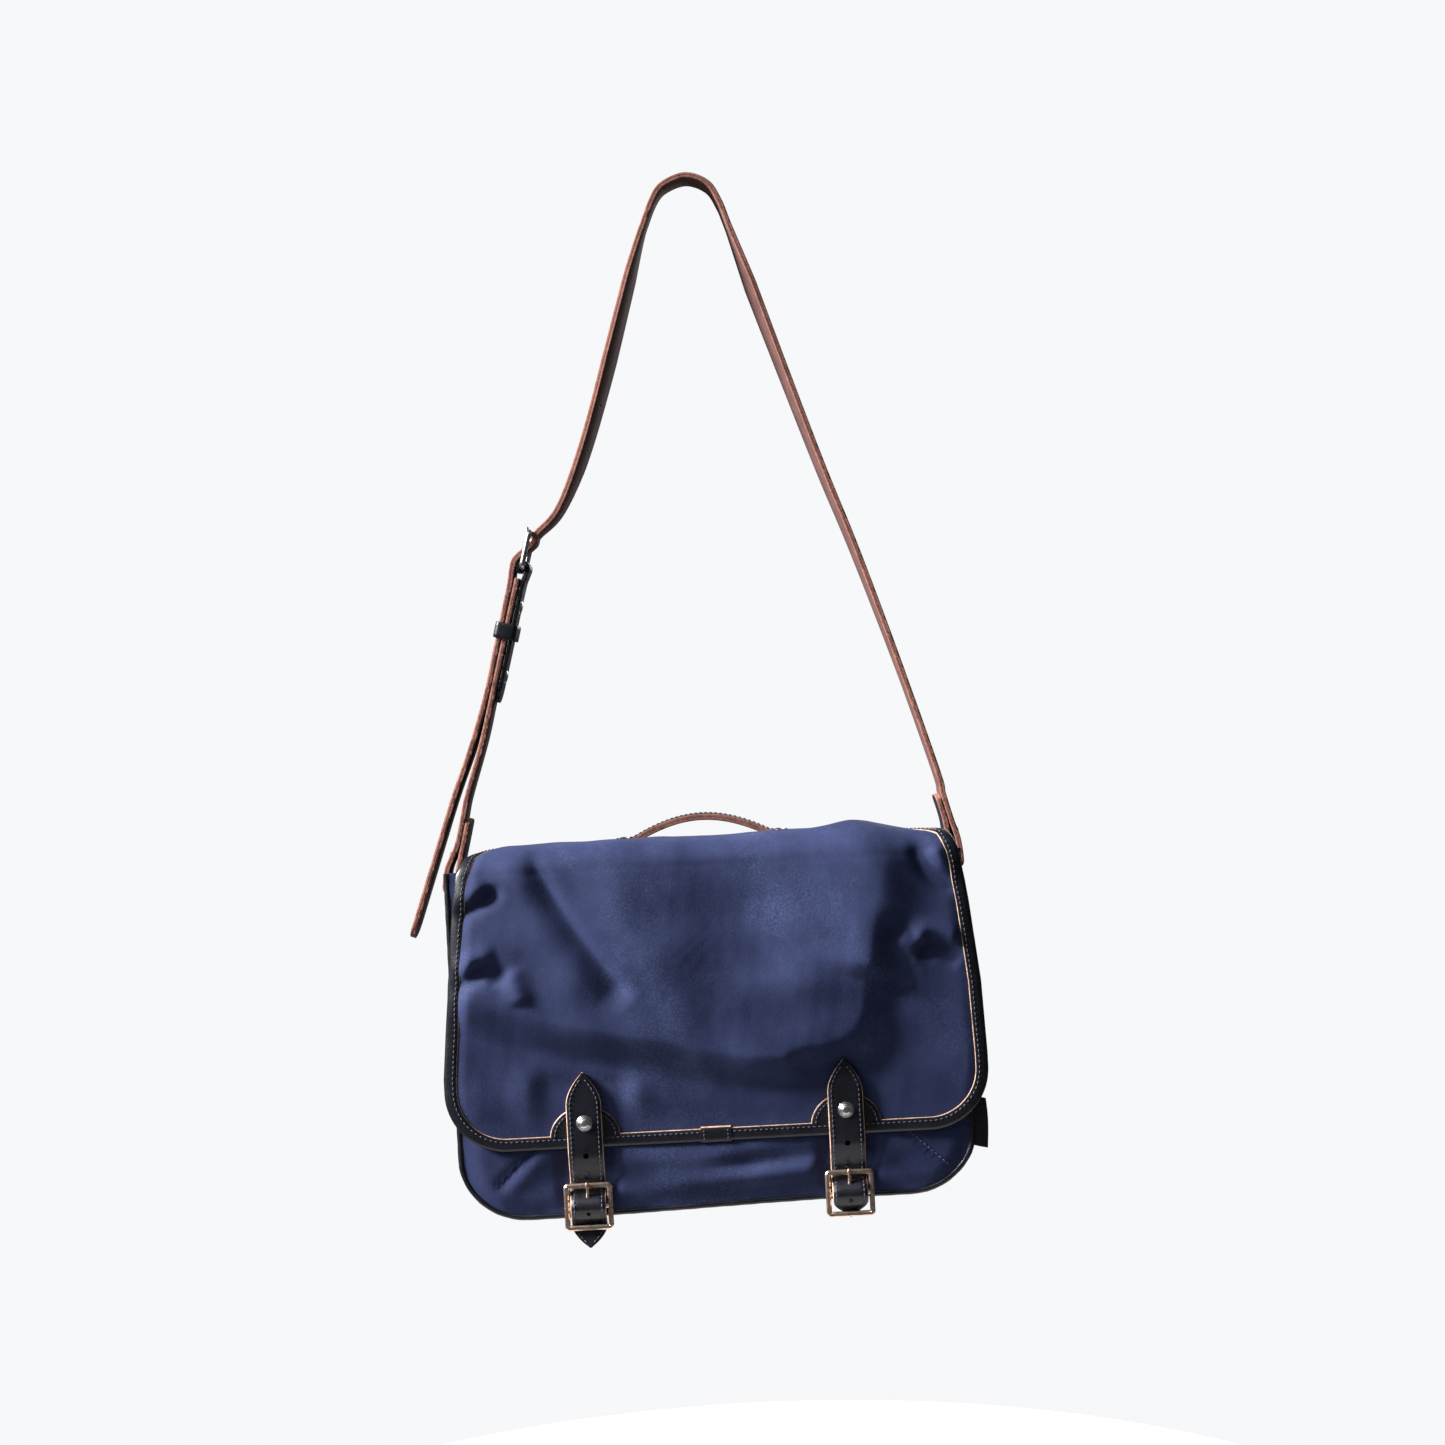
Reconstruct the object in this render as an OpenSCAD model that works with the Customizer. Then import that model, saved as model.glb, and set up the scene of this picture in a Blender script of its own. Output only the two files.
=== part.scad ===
// Messenger bag that hangs by its leather shoulder strap.
// The frame's origin is the underside of the strap where it lies on a hook, +Z up, the flap faces -Y.
// Shapes are drawn in the bag's own frame (base at z = 0, middle of the bag at x = 0) and moved by hung().

/* [Bag] */
// Width of the front and back panels
bag_w = 374; // [340:1:400]
// Height of the back panel
bag_h = 277; // [265:1:290]
// Depth from front panel to back panel
bag_d = 110; // [90:1:120]
// Radius of the panels' lower corners
corner_r = 45; // [20:1:60]
// Thickness of a quilted fabric wall
wall_t = 3; // [2:0.5:4]

/* [Flap] */
// Width of the flap across the top of the bag
flap_top_w = 310; // [280:1:312]
// Width of the flap's front where it folds down
flap_edge_w = 356; // [340:1:370]
// Width of the flap above its lower corners
flap_low_w = 401; // [372:1:410]
// Height of the flap's lower edge above the base
flap_low_z = 52; // [45:1:60]
// Width of the leather binding round the flap
binding_w = 9.5; // [7:0.5:12]

/* [Closures] */
// Distance of each closure strap from the middle of the bag
closure_x = 96; // [80:1:110]
// Width of a closure strap
closure_w = 26; // [22:1:27]
// Height of the closure buckles' centre bar above the base
bar_z = 9.6; // [9:0.1:11]

/* [Shoulder strap] */
// Width of the shoulder strap
strap_w = 30; // [26:1:32]
// Thickness of the shoulder strap
strap_t = 4.2; // [3:0.1:4.4]

/* [Hidden] */
$fn = 48;

// Colours
navy_cloth = [0.17, 0.20, 0.32];
navy_leather = [0.08, 0.09, 0.16];
red_leather = [0.45, 0.25, 0.20];
nickel = [0.75, 0.75, 0.76];
copper = [0.72, 0.48, 0.36];
lining_grey = [0.32, 0.33, 0.38];

// Depths, measured from the middle of the bag towards the front (-Y)
front_y = -bag_d / 2;
back_y = bag_d / 2;
front_top_z = bag_h - 5;
gusset_x = bag_w / 2 - 4;
gusset_top_z = 250;
gusset_t = 3;
piping_r = 2.5;
lining_t = 1;

// Flap
flap_t = 2.5;
binding_t = 4;
flap_y = front_y - 4;
flap_mid_y = flap_y - flap_t / 2;
flap_top_z = bag_h + 2.5;
flap_front_top_z = bag_h + 2;
flap_front_edge_y = front_y - 1.5;
flap_back_edge_y = back_y - 1;
flap_corner_r = 45;
joint_cover_l = 22;

// Closure strap: the leather is in front of the flap, then threads the buckle
patch_y = flap_y - flap_t;
patch_t = 2;
patch_r = 26;
patch_low_z = flap_low_z + binding_w;
closure_t = 3;
closure_y = patch_y - patch_t;
closure_mid_y = closure_y - closure_t / 2;
closure_point_z = 108;
closure_point_h = 24;
closure_hinge_z = flap_low_z - 1;
closure_gap = 2;
closure_split_z = 30;
closure_split_at = 12;
cap_z = 71;
cap_r = 5.6;
cap_h = 2.8;
bar_y = front_y - 9.4;
bar_r = 1.6;
bar_clear = 0.05;
frame_w = 35.7;
frame_h = 34.5;
frame_t = 3.2;
frame_side = 3.8;
frame_round = 3;
chape_w = 24;
chape_t = 2;
chape_slot = 5.2;
chape_under = 26;
prong_r = 1.2;
prong_eye_r = 3;
prong_eye_w = 3.8;
behind_bar_y = bar_y + frame_t / 2 + 0.4 + closure_t / 2;
over_bar_y = bar_y - bar_r - bar_clear - chape_t - 0.4 - closure_t / 2;
closure_route = [
    [closure_mid_y, closure_hinge_z - 0.5], [closure_mid_y + 1.2, 42], [behind_bar_y, closure_split_z],
    [behind_bar_y, bar_z + 12.6], [bar_y - 2.7, bar_z + 5.8], [over_bar_y, bar_z],
    [bar_y - 2.7, bar_z - 5.8], [behind_bar_y, bar_z - 12.6], [behind_bar_y - 0.4, -10], [behind_bar_y - 2, -21]
];

// Rings that join the bag to the shoulder strap
ring_x = bag_w / 2 + 4;
ring_low_z = 228;
ring_high_z = 246;
ring_r = 2;
ring_half_y = 18;
tab_t = 2.5;
tab_low_z = 192;

// Hang point, on the underside of the strap, from the middle of the bag's base
hang_x = 14;
hang_z = 771.4;

// Shoulder strap: the bag turns on the line at swing_z, where the leather flexes
swing_z = 305;
swing_gap = 8;
crown_route = [
    [-19, 741], [-11.5, 758], [-3, 768], [hang_x, hang_z + strap_t / 2], [30, 767], [38, 754], [44, 737]
];
right_route = [[44, 737], [66, 668], [103, 555], [128, 484], [157, 394], [181, swing_z + swing_gap]];
buckle_at = [-124, 484];
buckle_tilt = 15;
buckle_bar_r = 2;
buckle_wire_r = 2.2;
buckle_h = 27;
buckle_half_y = 18;
shoulder_prong_r = 1.4;
fold_t = 3.6;
fold_loop_r = 5;
fold_l = 100;
fold_slot = 5.6;
layer_gap = 0.4;
short_x = -0.2 - strap_t / 2;
outer_x = short_x - strap_t - layer_gap;
rivet_z = [-30, -84];
rivet_head_r = 5;
rivet_head_h = 1.2;
keeper_z = -50;
keeper_h = 12;
keeper_wall = 2;

// A point of the buckle's own frame, x outwards from the strap and z up along it, in the bag's frame
function from_buckle(p) = buckle_at + [p[0] * cos(buckle_tilt) + p[1] * sin(buckle_tilt),
                                       -p[0] * sin(buckle_tilt) + p[1] * cos(buckle_tilt)];

far_bar_x = buckle_wire_r + layer_gap + strap_t / 2;
left_split_at = 26;
left_route = [
    [-19, 741], [-27, 718], [-56, 623], [-76, 565], [-95, 526], from_buckle([far_bar_x, buckle_h]),
    from_buckle([far_bar_x - 0.8, 20.5]), from_buckle([-2.6, 11.5]), from_buckle([-7.4, 4.5]),
    from_buckle([-7.9, -3]), from_buckle([-7.2, -11]), from_buckle([outer_x, -19]), from_buckle([outer_x, -30])
];
tail_route = [from_buckle([outer_x, -30]), from_buckle([outer_x, -64]), from_buckle([outer_x, -100]),
              [-170, 350], [-185, 313], [-201, 269], [-223, 208]];
short_route = [from_buckle([short_x, -6]), from_buckle([short_x, -50]), from_buckle([short_x, -fold_l]),
               [-161, 355], [-175, swing_z + swing_gap]];
left_end_outer = [[-195.2, ring_high_z], [-192.5, 260], [-184.4, 277], [-179, swing_z - swing_gap]];
left_end_inner = [[-186.8, ring_high_z], [-184.5, 258], [-179.7, 277], [-174.3, swing_z - swing_gap]];
right_end_outer = [[195.2, ring_high_z], [193.6, 262], [189.2, 277], [184.1, swing_z - swing_gap]];
right_end_inner = [[186.8, ring_high_z], [186.4, 258], [184.6, 277], [179.4, swing_z - swing_gap]];
end_rivet_z = 267;

// Handle on the flap
handle_y = 24;
handle_w = 24;
handle_t = 4;
handle_foot_x = 50;
handle_foot_t = 3;
handle_rise = 10;

// ---------------------------------------------------------------- helpers

// Catmull-Rom points through a route
function spline(p, n = 6) = [
    for (i = [0 : len(p) - 2]) for (k = [0 : n - 1])
        let (t = k / n, a = p[max(i - 1, 0)], b = p[i], c = p[i + 1], d = p[min(i + 2, len(p) - 1)])
        0.5 * (2 * b + (c - a) * t + (2 * a - 5 * b + 4 * c - d) * t * t + (3 * b - a - 3 * c + d) * t * t * t),
    p[len(p) - 1]
];

function heading(p, i) =
    let (d = p[min(i + 1, len(p) - 1)] - p[max(i - 1, 0)]) d / norm(d);

// Closed outline of a band of thickness t along the points p, between two of them
function stretch(p, t, from, to) = concat(
    [for (i = [from : to]) let (d = heading(p, i)) p[i] + [-d[1], d[0]] * t / 2],
    [for (i = [to : -1 : from]) let (d = heading(p, i)) p[i] - [-d[1], d[0]] * t / 2]
);

function band(p, t) = stretch(p, t, 0, len(p) - 1);

module hung() {
    translate([-hang_x, 0, -hang_z]) children();
}

// Extrudes an outline drawn in x and z along y
module along_y(w) {
    rotate([90, 0, 0]) linear_extrude(w, center = true) children();
}

// Extrudes an outline drawn in y and z along x
module along_x(w) {
    rotate([90, 0, 90]) linear_extrude(w, center = true) children();
}

module rod_x(r, l) {
    rotate([0, 90, 0]) cylinder(r = r, h = l, center = true);
}

module rod_y(r, l) {
    rotate([90, 0, 0]) cylinder(r = r, h = l, center = true);
}

module leather_run(route, w, t) {
    along_y(w) polygon(band(spline(route), t));
}

// Panel outline with two round lower corners, drawn in x and z
module panel_shape(half_w, top_z, inset = 0) {
    r = corner_r - inset;
    translate([-half_w + inset, corner_r]) square([2 * (half_w - inset), top_z - corner_r]);
    translate([-half_w + corner_r, inset]) square([2 * (half_w - corner_r), corner_r]);
    for (s = [-1, 1]) translate([s * (half_w - corner_r), corner_r]) circle(r);
}

// Wall strip that follows the panel outline, between two insets
module gusset_shape() {
    difference() {
        panel_shape(gusset_x, gusset_top_z);
        panel_shape(gusset_x, gusset_top_z + 1, gusset_t);
    }
}

// Rectangular wire ring in the y-z plane, from z0 to z1
module wire_ring(half_y, z0, z1, r) {
    for (z = [z0, z1]) translate([0, 0, z]) rod_y(r, 2 * half_y);
    for (y = [-half_y, half_y]) {
        translate([0, y, z0]) cylinder(r = r, h = z1 - z0);
        for (z = [z0, z1]) translate([0, y, z]) sphere(r);
    }
}

module at_buckle() {
    translate([buckle_at[0], 0, buckle_at[1]]) rotate([0, buckle_tilt, 0]) children();
}

// ---------------------------------------------------------------- shoulder strap

module strap_crown() {
    color(navy_leather) hung() leather_run(crown_route, strap_w, strap_t);
}

// The long strap above the buckle, and below it the stretch that threads the buckle
module left_piece(from, to) {
    whole = spline(left_route);
    along_y(strap_w) polygon(stretch(whole, strap_t, from, to));
}

module strap_left_leg() {
    color(navy_leather) hung() left_piece(0, left_split_at);
}

module strap_threaded() {
    color(navy_leather) hung() difference() {
        left_piece(left_split_at, len(spline(left_route)) - 1);
        at_buckle() shoulder_prong_body(0.4);
    }
}

module strap_right_leg() {
    color(navy_leather) hung() leather_run(right_route, strap_w, strap_t);
}

module strap_tail() {
    color(navy_leather) hung() leather_run(tail_route, strap_w, strap_t);
}

module buckle_strap() {
    color(navy_leather) hung() difference() {
        leather_run(short_route, strap_w, strap_t);
        at_buckle() rivet_holes();
    }
}

// Leather folded round the buckle's heel bar, with a slot for the prong
module chape_fold() {
    color(navy_leather) hung() at_buckle() difference() {
        union() {
            rod_y(fold_loop_r, strap_w - 1);
            translate([0.01, -(strap_w - 1) / 2, -fold_l])
                cube([fold_t, strap_w - 1, fold_l - 1]);
        }
        translate([-fold_loop_r - 1, -strap_w, -fold_l - 1])
            cube([fold_loop_r + 1.01, 2 * strap_w, fold_l - 4.5]);
        rod_y(buckle_bar_r + bar_clear, strap_w + 2);
        cube([3 * fold_loop_r, fold_slot, 2.4 * fold_loop_r], center = true);
        rivet_holes();
    }
}

module rivet_holes() {
    for (z = rivet_z) translate([0, 0, z]) rod_x(2, 20);
}

module chape_rivets() {
    color(nickel) hung() at_buckle() for (z = rivet_z) translate([0, 0, z]) {
        translate([(short_x - strap_t / 2 + fold_t) / 2, 0, 0]) rod_x(2, fold_t - short_x + strap_t / 2);
        translate([fold_t + rivet_head_h / 2 + 0.01, 0, 0]) rod_x(rivet_head_r, rivet_head_h);
    }
}

module shoulder_buckle() {
    color(nickel) hung() at_buckle() {
        rod_y(buckle_bar_r, 2 * buckle_half_y);
        translate([0, 0, buckle_h]) rod_y(buckle_wire_r, 2 * buckle_half_y);
        for (y = [-buckle_half_y, buckle_half_y]) {
            translate([0, y, 0]) cylinder(r = buckle_wire_r, h = buckle_h);
            for (z = [0, buckle_h]) translate([0, y, z]) sphere(buckle_wire_r);
        }
    }
}

// Prong in the buckle's own frame, grown by extra on every side
module shoulder_prong_body(extra) {
    tip = [-buckle_wire_r - 1.7, buckle_h + 4];
    root = [-2.4, 1.5];
    lean = atan2(tip[0] - root[0], tip[1] - root[1]);
    difference() {
        union() {
            rod_y(3.4 + extra, 4.4 + 2 * extra);
            translate([root[0], 0, root[1]]) rotate([0, lean, 0])
                cylinder(r = shoulder_prong_r + extra, h = norm(tip - root));
            translate([tip[0], 0, tip[1]]) sphere(shoulder_prong_r + extra);
        }
        if (extra == 0) rod_y(buckle_bar_r + bar_clear, 10);
    }
}

module shoulder_prong() {
    color(nickel) hung() at_buckle() shoulder_prong_body(0);
}

module keeper() {
    inner = [fold_t - outer_x + strap_t / 2 + 2 * layer_gap, strap_w + 2 * layer_gap];
    middle = (fold_t + outer_x - strap_t / 2) / 2;
    color(navy_leather) hung() at_buckle() translate([middle, 0, keeper_z]) difference() {
        cube([inner[0] + 2 * keeper_wall, inner[1] + 2 * keeper_wall, keeper_h], center = true);
        cube([inner[0], inner[1], keeper_h + 2], center = true);
    }
}

// ---------------------------------------------------------------- bag

module front_panel() {
    color(navy_cloth) hung() translate([0, front_y + wall_t / 2, 0])
        along_y(wall_t) panel_shape(bag_w / 2, front_top_z);
}

module back_panel() {
    color(navy_cloth) hung() translate([0, back_y - wall_t / 2, 0])
        along_y(wall_t) panel_shape(bag_w / 2, bag_h);
}

module gusset_left() {
    color(navy_cloth) hung() along_y(bag_d - 2 * wall_t) intersection() {
        gusset_shape();
        translate([-bag_w, -1]) square([bag_w - gusset_x + corner_r, bag_h + 2]);
    }
}

module gusset_right() {
    color(navy_cloth) hung() along_y(bag_d - 2 * wall_t) intersection() {
        gusset_shape();
        translate([gusset_x - corner_r, -1]) square([bag_w - gusset_x + corner_r, bag_h + 2]);
    }
}

module base_panel() {
    w = 2 * (gusset_x - corner_r);
    color(navy_cloth) hung() translate([-w / 2, front_y + wall_t, 0])
        cube([w, bag_d - 2 * wall_t, gusset_t]);
}

module lining() {
    depth = bag_d - 2 * wall_t;
    color(lining_grey) hung() difference() {
        along_y(depth) panel_shape(gusset_x, gusset_top_z - 2, gusset_t);
        translate([0, 0, 0.01]) along_y(depth - 2 * lining_t)
            panel_shape(gusset_x, gusset_top_z, gusset_t + lining_t);
    }
}

// Slip pocket inside the back wall, open at its top
module inner_pocket() {
    w = 190; // width of the pocket
    h = 140; // height of the pocket
    gap = 6; // room inside it
    t = 1.5; // thickness of its cloth
    z0 = 70; // its bottom above the base
    y1 = back_y - wall_t - lining_t;
    color(lining_grey) hung() {
        translate([-w / 2, y1 - gap - t, z0]) cube([w, t, h]);
        translate([-w / 2, y1 - gap, z0]) cube([w, gap, t]);
        for (x = [-w / 2, w / 2 - t]) translate([x, y1 - gap, z0]) cube([t, gap, h]);
    }
}

// Leather edge over the front panel and both gussets at the mouth
module mouth_binding() {
    color(navy_leather) hung() {
        translate([-bag_w / 2 + 8, front_y - 0.8, front_top_z]) cube([bag_w - 16, wall_t + 1.6, 2]);
        translate([-bag_w / 2 + 8, front_y - 0.8, front_top_z - 8]) cube([bag_w - 16, 0.8, 8]);
        for (s = [-1, 1]) translate([s * (gusset_x - gusset_t / 2), 0, gusset_top_z + 1])
            cube([gusset_t + 1, bag_d - 2 * wall_t - 1, 2], center = true);
    }
}

// Piping down both sides and along the base of a panel edge
module piping(y) {
    half = bag_w / 2 + 0.01;
    for (s = [-1, 1]) {
        translate([s * (half + piping_r), y, corner_r]) cylinder(r = piping_r, h = bag_h - corner_r - 12);
        translate([s * (half - corner_r), y, corner_r]) rotate([90, 0, 0])
            intersection() {
                rotate_extrude() translate([corner_r + piping_r, 0]) circle(piping_r);
                translate([s > 0 ? 0 : -bag_w, -bag_w, -9]) cube([bag_w, bag_w, 18]);
            }
    }
    translate([0, y, -piping_r]) rod_x(piping_r, 2 * (half - corner_r));
}

module front_piping() {
    color(navy_leather) hung() piping(front_y + 1.5);
}

module back_piping() {
    color(navy_leather) hung() piping(back_y - piping_r);
}

module side_tag() {
    color([0.05, 0.05, 0.06]) hung()
        translate([bag_w / 2 + 2 * piping_r + 0.02, front_y + 0.8, 38]) cube([11, 1.6, 37]);
}

// Strip inside the back panel's top that the flap is sewn to
module flap_anchor_strip() {
    color(navy_cloth) hung() translate([-flap_top_w / 2, back_y - wall_t - 2, bag_h - 20])
        cube([flap_top_w, 2, 20]);
}

// Leather tab that holds a ring on the gusset
module ring_tab() {
    w = 2 * ring_half_y - 2 * ring_r - 2;
    loop_r = ring_r + bar_clear + tab_t;
    color(navy_leather) hung() difference() {
        union() {
            translate([gusset_x, -w / 2, tab_low_z]) cube([tab_t, w, ring_low_z - tab_low_z]);
            translate([gusset_x, -w / 2, ring_low_z - loop_r]) cube([ring_x - gusset_x, w, tab_t]);
            translate([ring_x, 0, ring_low_z]) rod_y(loop_r, w);
        }
        translate([ring_x, 0, ring_low_z]) rod_y(ring_r + bar_clear, w + 2);
        translate([gusset_x - 10, -w, 0]) cube([10, 2 * w, bag_h]);
    }
}

module ring_tab_left() {
    translate([-2 * hang_x, 0, 0]) mirror([1, 0, 0]) ring_tab();
}

module ring_tab_right() {
    ring_tab();
}

module ring_left() {
    color(nickel) hung() translate([-ring_x, 0, 0]) wire_ring(ring_half_y, ring_low_z, ring_high_z, ring_r);
}

module ring_right() {
    color(nickel) hung() translate([ring_x, 0, 0]) wire_ring(ring_half_y, ring_low_z, ring_high_z, ring_r);
}

// The axis of a strap end's rivet, x along it and outwards
module at_end_rivet(s) {
    translate([s < 0 ? -185.7 : 188.9, 0, end_rivet_z])
        rotate([0, s < 0 ? 22 : -12, 0]) children();
}

// Strap end folded round its ring: two layers and the loop below them
module strap_end(x, outer, inner) {
    w = strap_w;
    loop_r = ring_r + bar_clear + strap_t;
    color(navy_leather) hung() difference() {
        union() {
            leather_run(outer, w, strap_t);
            leather_run(inner, w, strap_t);
            translate([x, 0, ring_high_z]) intersection() {
                rod_y(loop_r, w);
                translate([-20, -20, -40]) cube([40, 40, 40]);
            }
        }
        translate([x, 0, ring_high_z]) rod_y(ring_r + bar_clear, w + 2);
        at_end_rivet(sign(x)) rod_x(2, 40);
    }
}

module strap_end_left() {
    strap_end(-ring_x, left_end_outer, left_end_inner);
}

module strap_end_right() {
    strap_end(ring_x, right_end_outer, right_end_inner);
}

module strap_end_rivets() {
    color([0.1, 0.1, 0.12]) hung() for (s = [-1, 1]) at_end_rivet(s) {
        translate([s * 0.2, 0, 0]) rod_x(1.9, 11.4);
        translate([s * 6.5, 0, 0]) rod_x(3.5, 1.2);
    }
}

// ---------------------------------------------------------------- flap

// Half width of the flap's front at height z: it widens downwards in a quarter of a sine wave
function flap_half(z) = flap_edge_w / 2 + (flap_low_w - flap_edge_w) / 2
    * sin(90 * (flap_front_top_z - z) / (flap_front_top_z - flap_low_z - flap_corner_r));

// Right half of the flap's outline, from its top corner down to the middle of its lower edge
function flap_side(inset) = concat(
    [for (i = [0 : 7]) let (z = flap_front_top_z - (flap_front_top_z - flap_low_z - flap_corner_r) * i / 8)
        [flap_half(z) - inset, z]],
    [for (a = [0 : 7.5 : 90]) let (r = flap_corner_r - inset)
        [flap_low_w / 2 - flap_corner_r + r * cos(a), flap_low_z + flap_corner_r - r * sin(a)]]
);

function mirrored(p) = [for (i = [len(p) - 1 : -1 : 0]) [-p[i][0], p[i][1]]];

module flap_outline(inset) {
    side = flap_side(inset);
    polygon(concat(side, mirrored(side)));
}

module flap_ring() {
    difference() {
        flap_outline(0);
        flap_outline(binding_w);
    }
}

module flap_top() {
    w = flap_top_w - 2 * binding_w;
    color(navy_cloth) hung() translate([-w / 2, flap_front_edge_y, flap_top_z])
        cube([w, flap_back_edge_y - flap_front_edge_y, flap_t]);
}

module flap_top_edge(s) {
    x = s > 0 ? flap_top_w / 2 - binding_w : -flap_top_w / 2;
    color(navy_leather) hung() translate([x, flap_front_edge_y, flap_top_z - 0.5])
        cube([binding_w, flap_back_edge_y - flap_front_edge_y, binding_t - 0.5]);
}

module flap_top_binding_left() {
    flap_top_edge(-1);
}

module flap_top_binding_right() {
    flap_top_edge(1);
}

// Flat leather handle: two feet on the flap and an arched grip between them
module handle() {
    z0 = flap_top_z + flap_t;
    route = [
        for (i = [-8 : 8])
            [i / 8 * handle_foot_x, z0 + handle_t / 2 + handle_rise * pow(cos(i / 8 * 90), 0.8) - 0.01]
    ];
    color(red_leather) hung() translate([0, handle_y, 0]) difference() {
        union() {
            leather_run(route, handle_w, handle_t);
            for (s = [-1, 1]) translate([s * (handle_foot_x + 8), 0, z0 + handle_foot_t / 2])
                cube([20, handle_w, handle_foot_t], center = true);
        }
        translate([-100, -50, 0]) cube([200, 100, z0]);
        for (s = [-1, 1]) translate([s * (handle_foot_x + 10), 0, 0]) cylinder(r = 2, h = 400);
    }
}

module handle_rivets() {
    z0 = flap_top_z + flap_t;
    color(nickel) hung() for (s = [-1, 1]) translate([s * (handle_foot_x + 10), handle_y, 0]) {
        translate([0, 0, z0]) cylinder(r = 1.95, h = handle_foot_t);
        translate([0, 0, z0 + handle_foot_t]) cylinder(r = 4, h = 1.2);
    }
}

module flap_front() {
    color(navy_cloth) hung() translate([0, flap_mid_y, 0]) along_y(flap_t) flap_outline(binding_w);
}

module flap_binding_side(s) {
    x = s > 0 ? flap_low_w / 2 - flap_corner_r - 2 : -bag_w;
    color(navy_leather) hung() translate([0, flap_mid_y, 0]) along_y(binding_t) intersection() {
        flap_ring();
        translate([x, flap_low_z + flap_corner_r]) square([bag_w - flap_low_w / 2 + flap_corner_r + 2, bag_h]);
    }
}

module flap_binding_left() {
    flap_binding_side(-1);
}

module flap_binding_right() {
    flap_binding_side(1);
}

module flap_binding_bottom() {
    color(navy_leather) hung() translate([0, flap_mid_y, 0]) along_y(binding_t) intersection() {
        flap_ring();
        translate([-bag_w, 0]) square([2 * bag_w, flap_low_z + flap_corner_r]);
    }
}

// Short leather sleeve over the joint of the binding
module binding_joint_cover() {
    color(navy_leather) hung() translate([0, flap_mid_y - binding_t / 2 - 0.5, flap_low_z + binding_w / 2])
        cube([joint_cover_l, 1, binding_w + 1], center = true);
}

module flap_patch(s) {
    color(navy_leather) hung() translate([s * closure_x, patch_y - patch_t / 2, patch_low_z])
        along_y(patch_t) intersection() {
            circle(patch_r);
            translate([-patch_r, 0]) square([2 * patch_r, patch_r]);
        }
}

module flap_patch_left() {
    flap_patch(-1);
}

module flap_patch_right() {
    flap_patch(1);
}

// Fixed upper end of a closure strap, pointed at its top
module closure_top(s) {
    h = closure_w / 2;
    side = [
        for (i = [5 : -1 : 0]) [h * (1 - pow(i / 6, 1.8)), closure_point_z - closure_point_h * (1 - i / 6)],
        [h, closure_hinge_z + closure_gap]
    ];
    color(navy_leather) hung() translate([s * closure_x, closure_mid_y, 0]) difference() {
        along_y(closure_t) polygon(concat([[0, closure_point_z]], side, mirrored(side)));
        translate([0, 0, cap_z]) rod_y(2, 10);
    }
}

module closure_top_left() {
    closure_top(-1);
}

module closure_top_right() {
    closure_top(1);
}

// Domed cap with its post through strap and patch
module closure_cap(s) {
    dome_r = (cap_r * cap_r + cap_h * cap_h) / (2 * cap_h);
    color(nickel) hung() translate([s * closure_x, closure_y - closure_t, cap_z]) rotate([90, 0, 0]) {
        intersection() {
            translate([0, 0, cap_h - dome_r]) sphere(dome_r);
            cylinder(r = cap_r + 1, h = cap_h + 1);
        }
        translate([0, 0, -closure_t]) cylinder(r = 1.95, h = closure_t);
    }
}

module closure_cap_left() {
    closure_cap(-1);
}

module closure_cap_right() {
    closure_cap(1);
}

// Washers that clench the caps on the inside of the flap
module cap_washers() {
    color(nickel) hung() for (s = [-1, 1]) translate([s * closure_x, flap_y + 0.61, cap_z]) rod_y(6, 1.2);
}

// ---------------------------------------------------------------- closures

// Free part of a closure strap; the tail threads the buckle
module closure_piece(s, from, to) {
    whole = spline(closure_route);
    color(navy_leather) hung() translate([s * closure_x, 0, 0]) difference() {
        along_x(closure_w) polygon(stretch(whole, closure_t, from, to));
        closure_prong_body(0.4);
    }
}

module closure_strap_left() {
    closure_piece(-1, 0, closure_split_at);
}

module closure_strap_right() {
    closure_piece(1, 0, closure_split_at);
}

module closure_tail_left() {
    closure_piece(-1, closure_split_at, len(spline(closure_route)) - 1);
}

module closure_tail_right() {
    closure_piece(1, closure_split_at, len(spline(closure_route)) - 1);
}

// Leather that holds the buckle's centre bar, sewn under the base
module chape(s) {
    y1 = front_y - 1.05;
    y2 = y1 + 2 * piping_r + 0.1;
    low_z = -2 * piping_r - chape_t - 0.05;
    color(navy_leather) hung() translate([s * closure_x, 0, 0]) difference() {
        union() {
            translate([0, bar_y, bar_z]) rod_x(bar_r + bar_clear + chape_t, chape_w);
            translate([-chape_w / 2, bar_y + 2.5, bar_z - 2]) cube([chape_w, y1 - bar_y - 2.5, 4]);
            translate([-chape_w / 2, y1 - chape_t, low_z]) cube([chape_w, chape_t, bar_z + 4 - low_z]);
            translate([-chape_w / 2, y1 - chape_t, low_z]) cube([chape_w, y2 - y1 + 2 * chape_t, chape_t]);
            translate([-chape_w / 2, y2, low_z]) cube([chape_w, chape_t, -low_z]);
            translate([-chape_w / 2, y2, -chape_t]) cube([chape_w, chape_under, chape_t]);
        }
        translate([0, bar_y, bar_z]) rod_x(bar_r + bar_clear, chape_w + 2);
        translate([0, bar_y, bar_z]) cube([chape_slot, 2 * (prong_eye_r + 0.8), 12], center = true);
    }
}

module chape_left() {
    chape(-1);
}

module chape_right() {
    chape(1);
}

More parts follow.
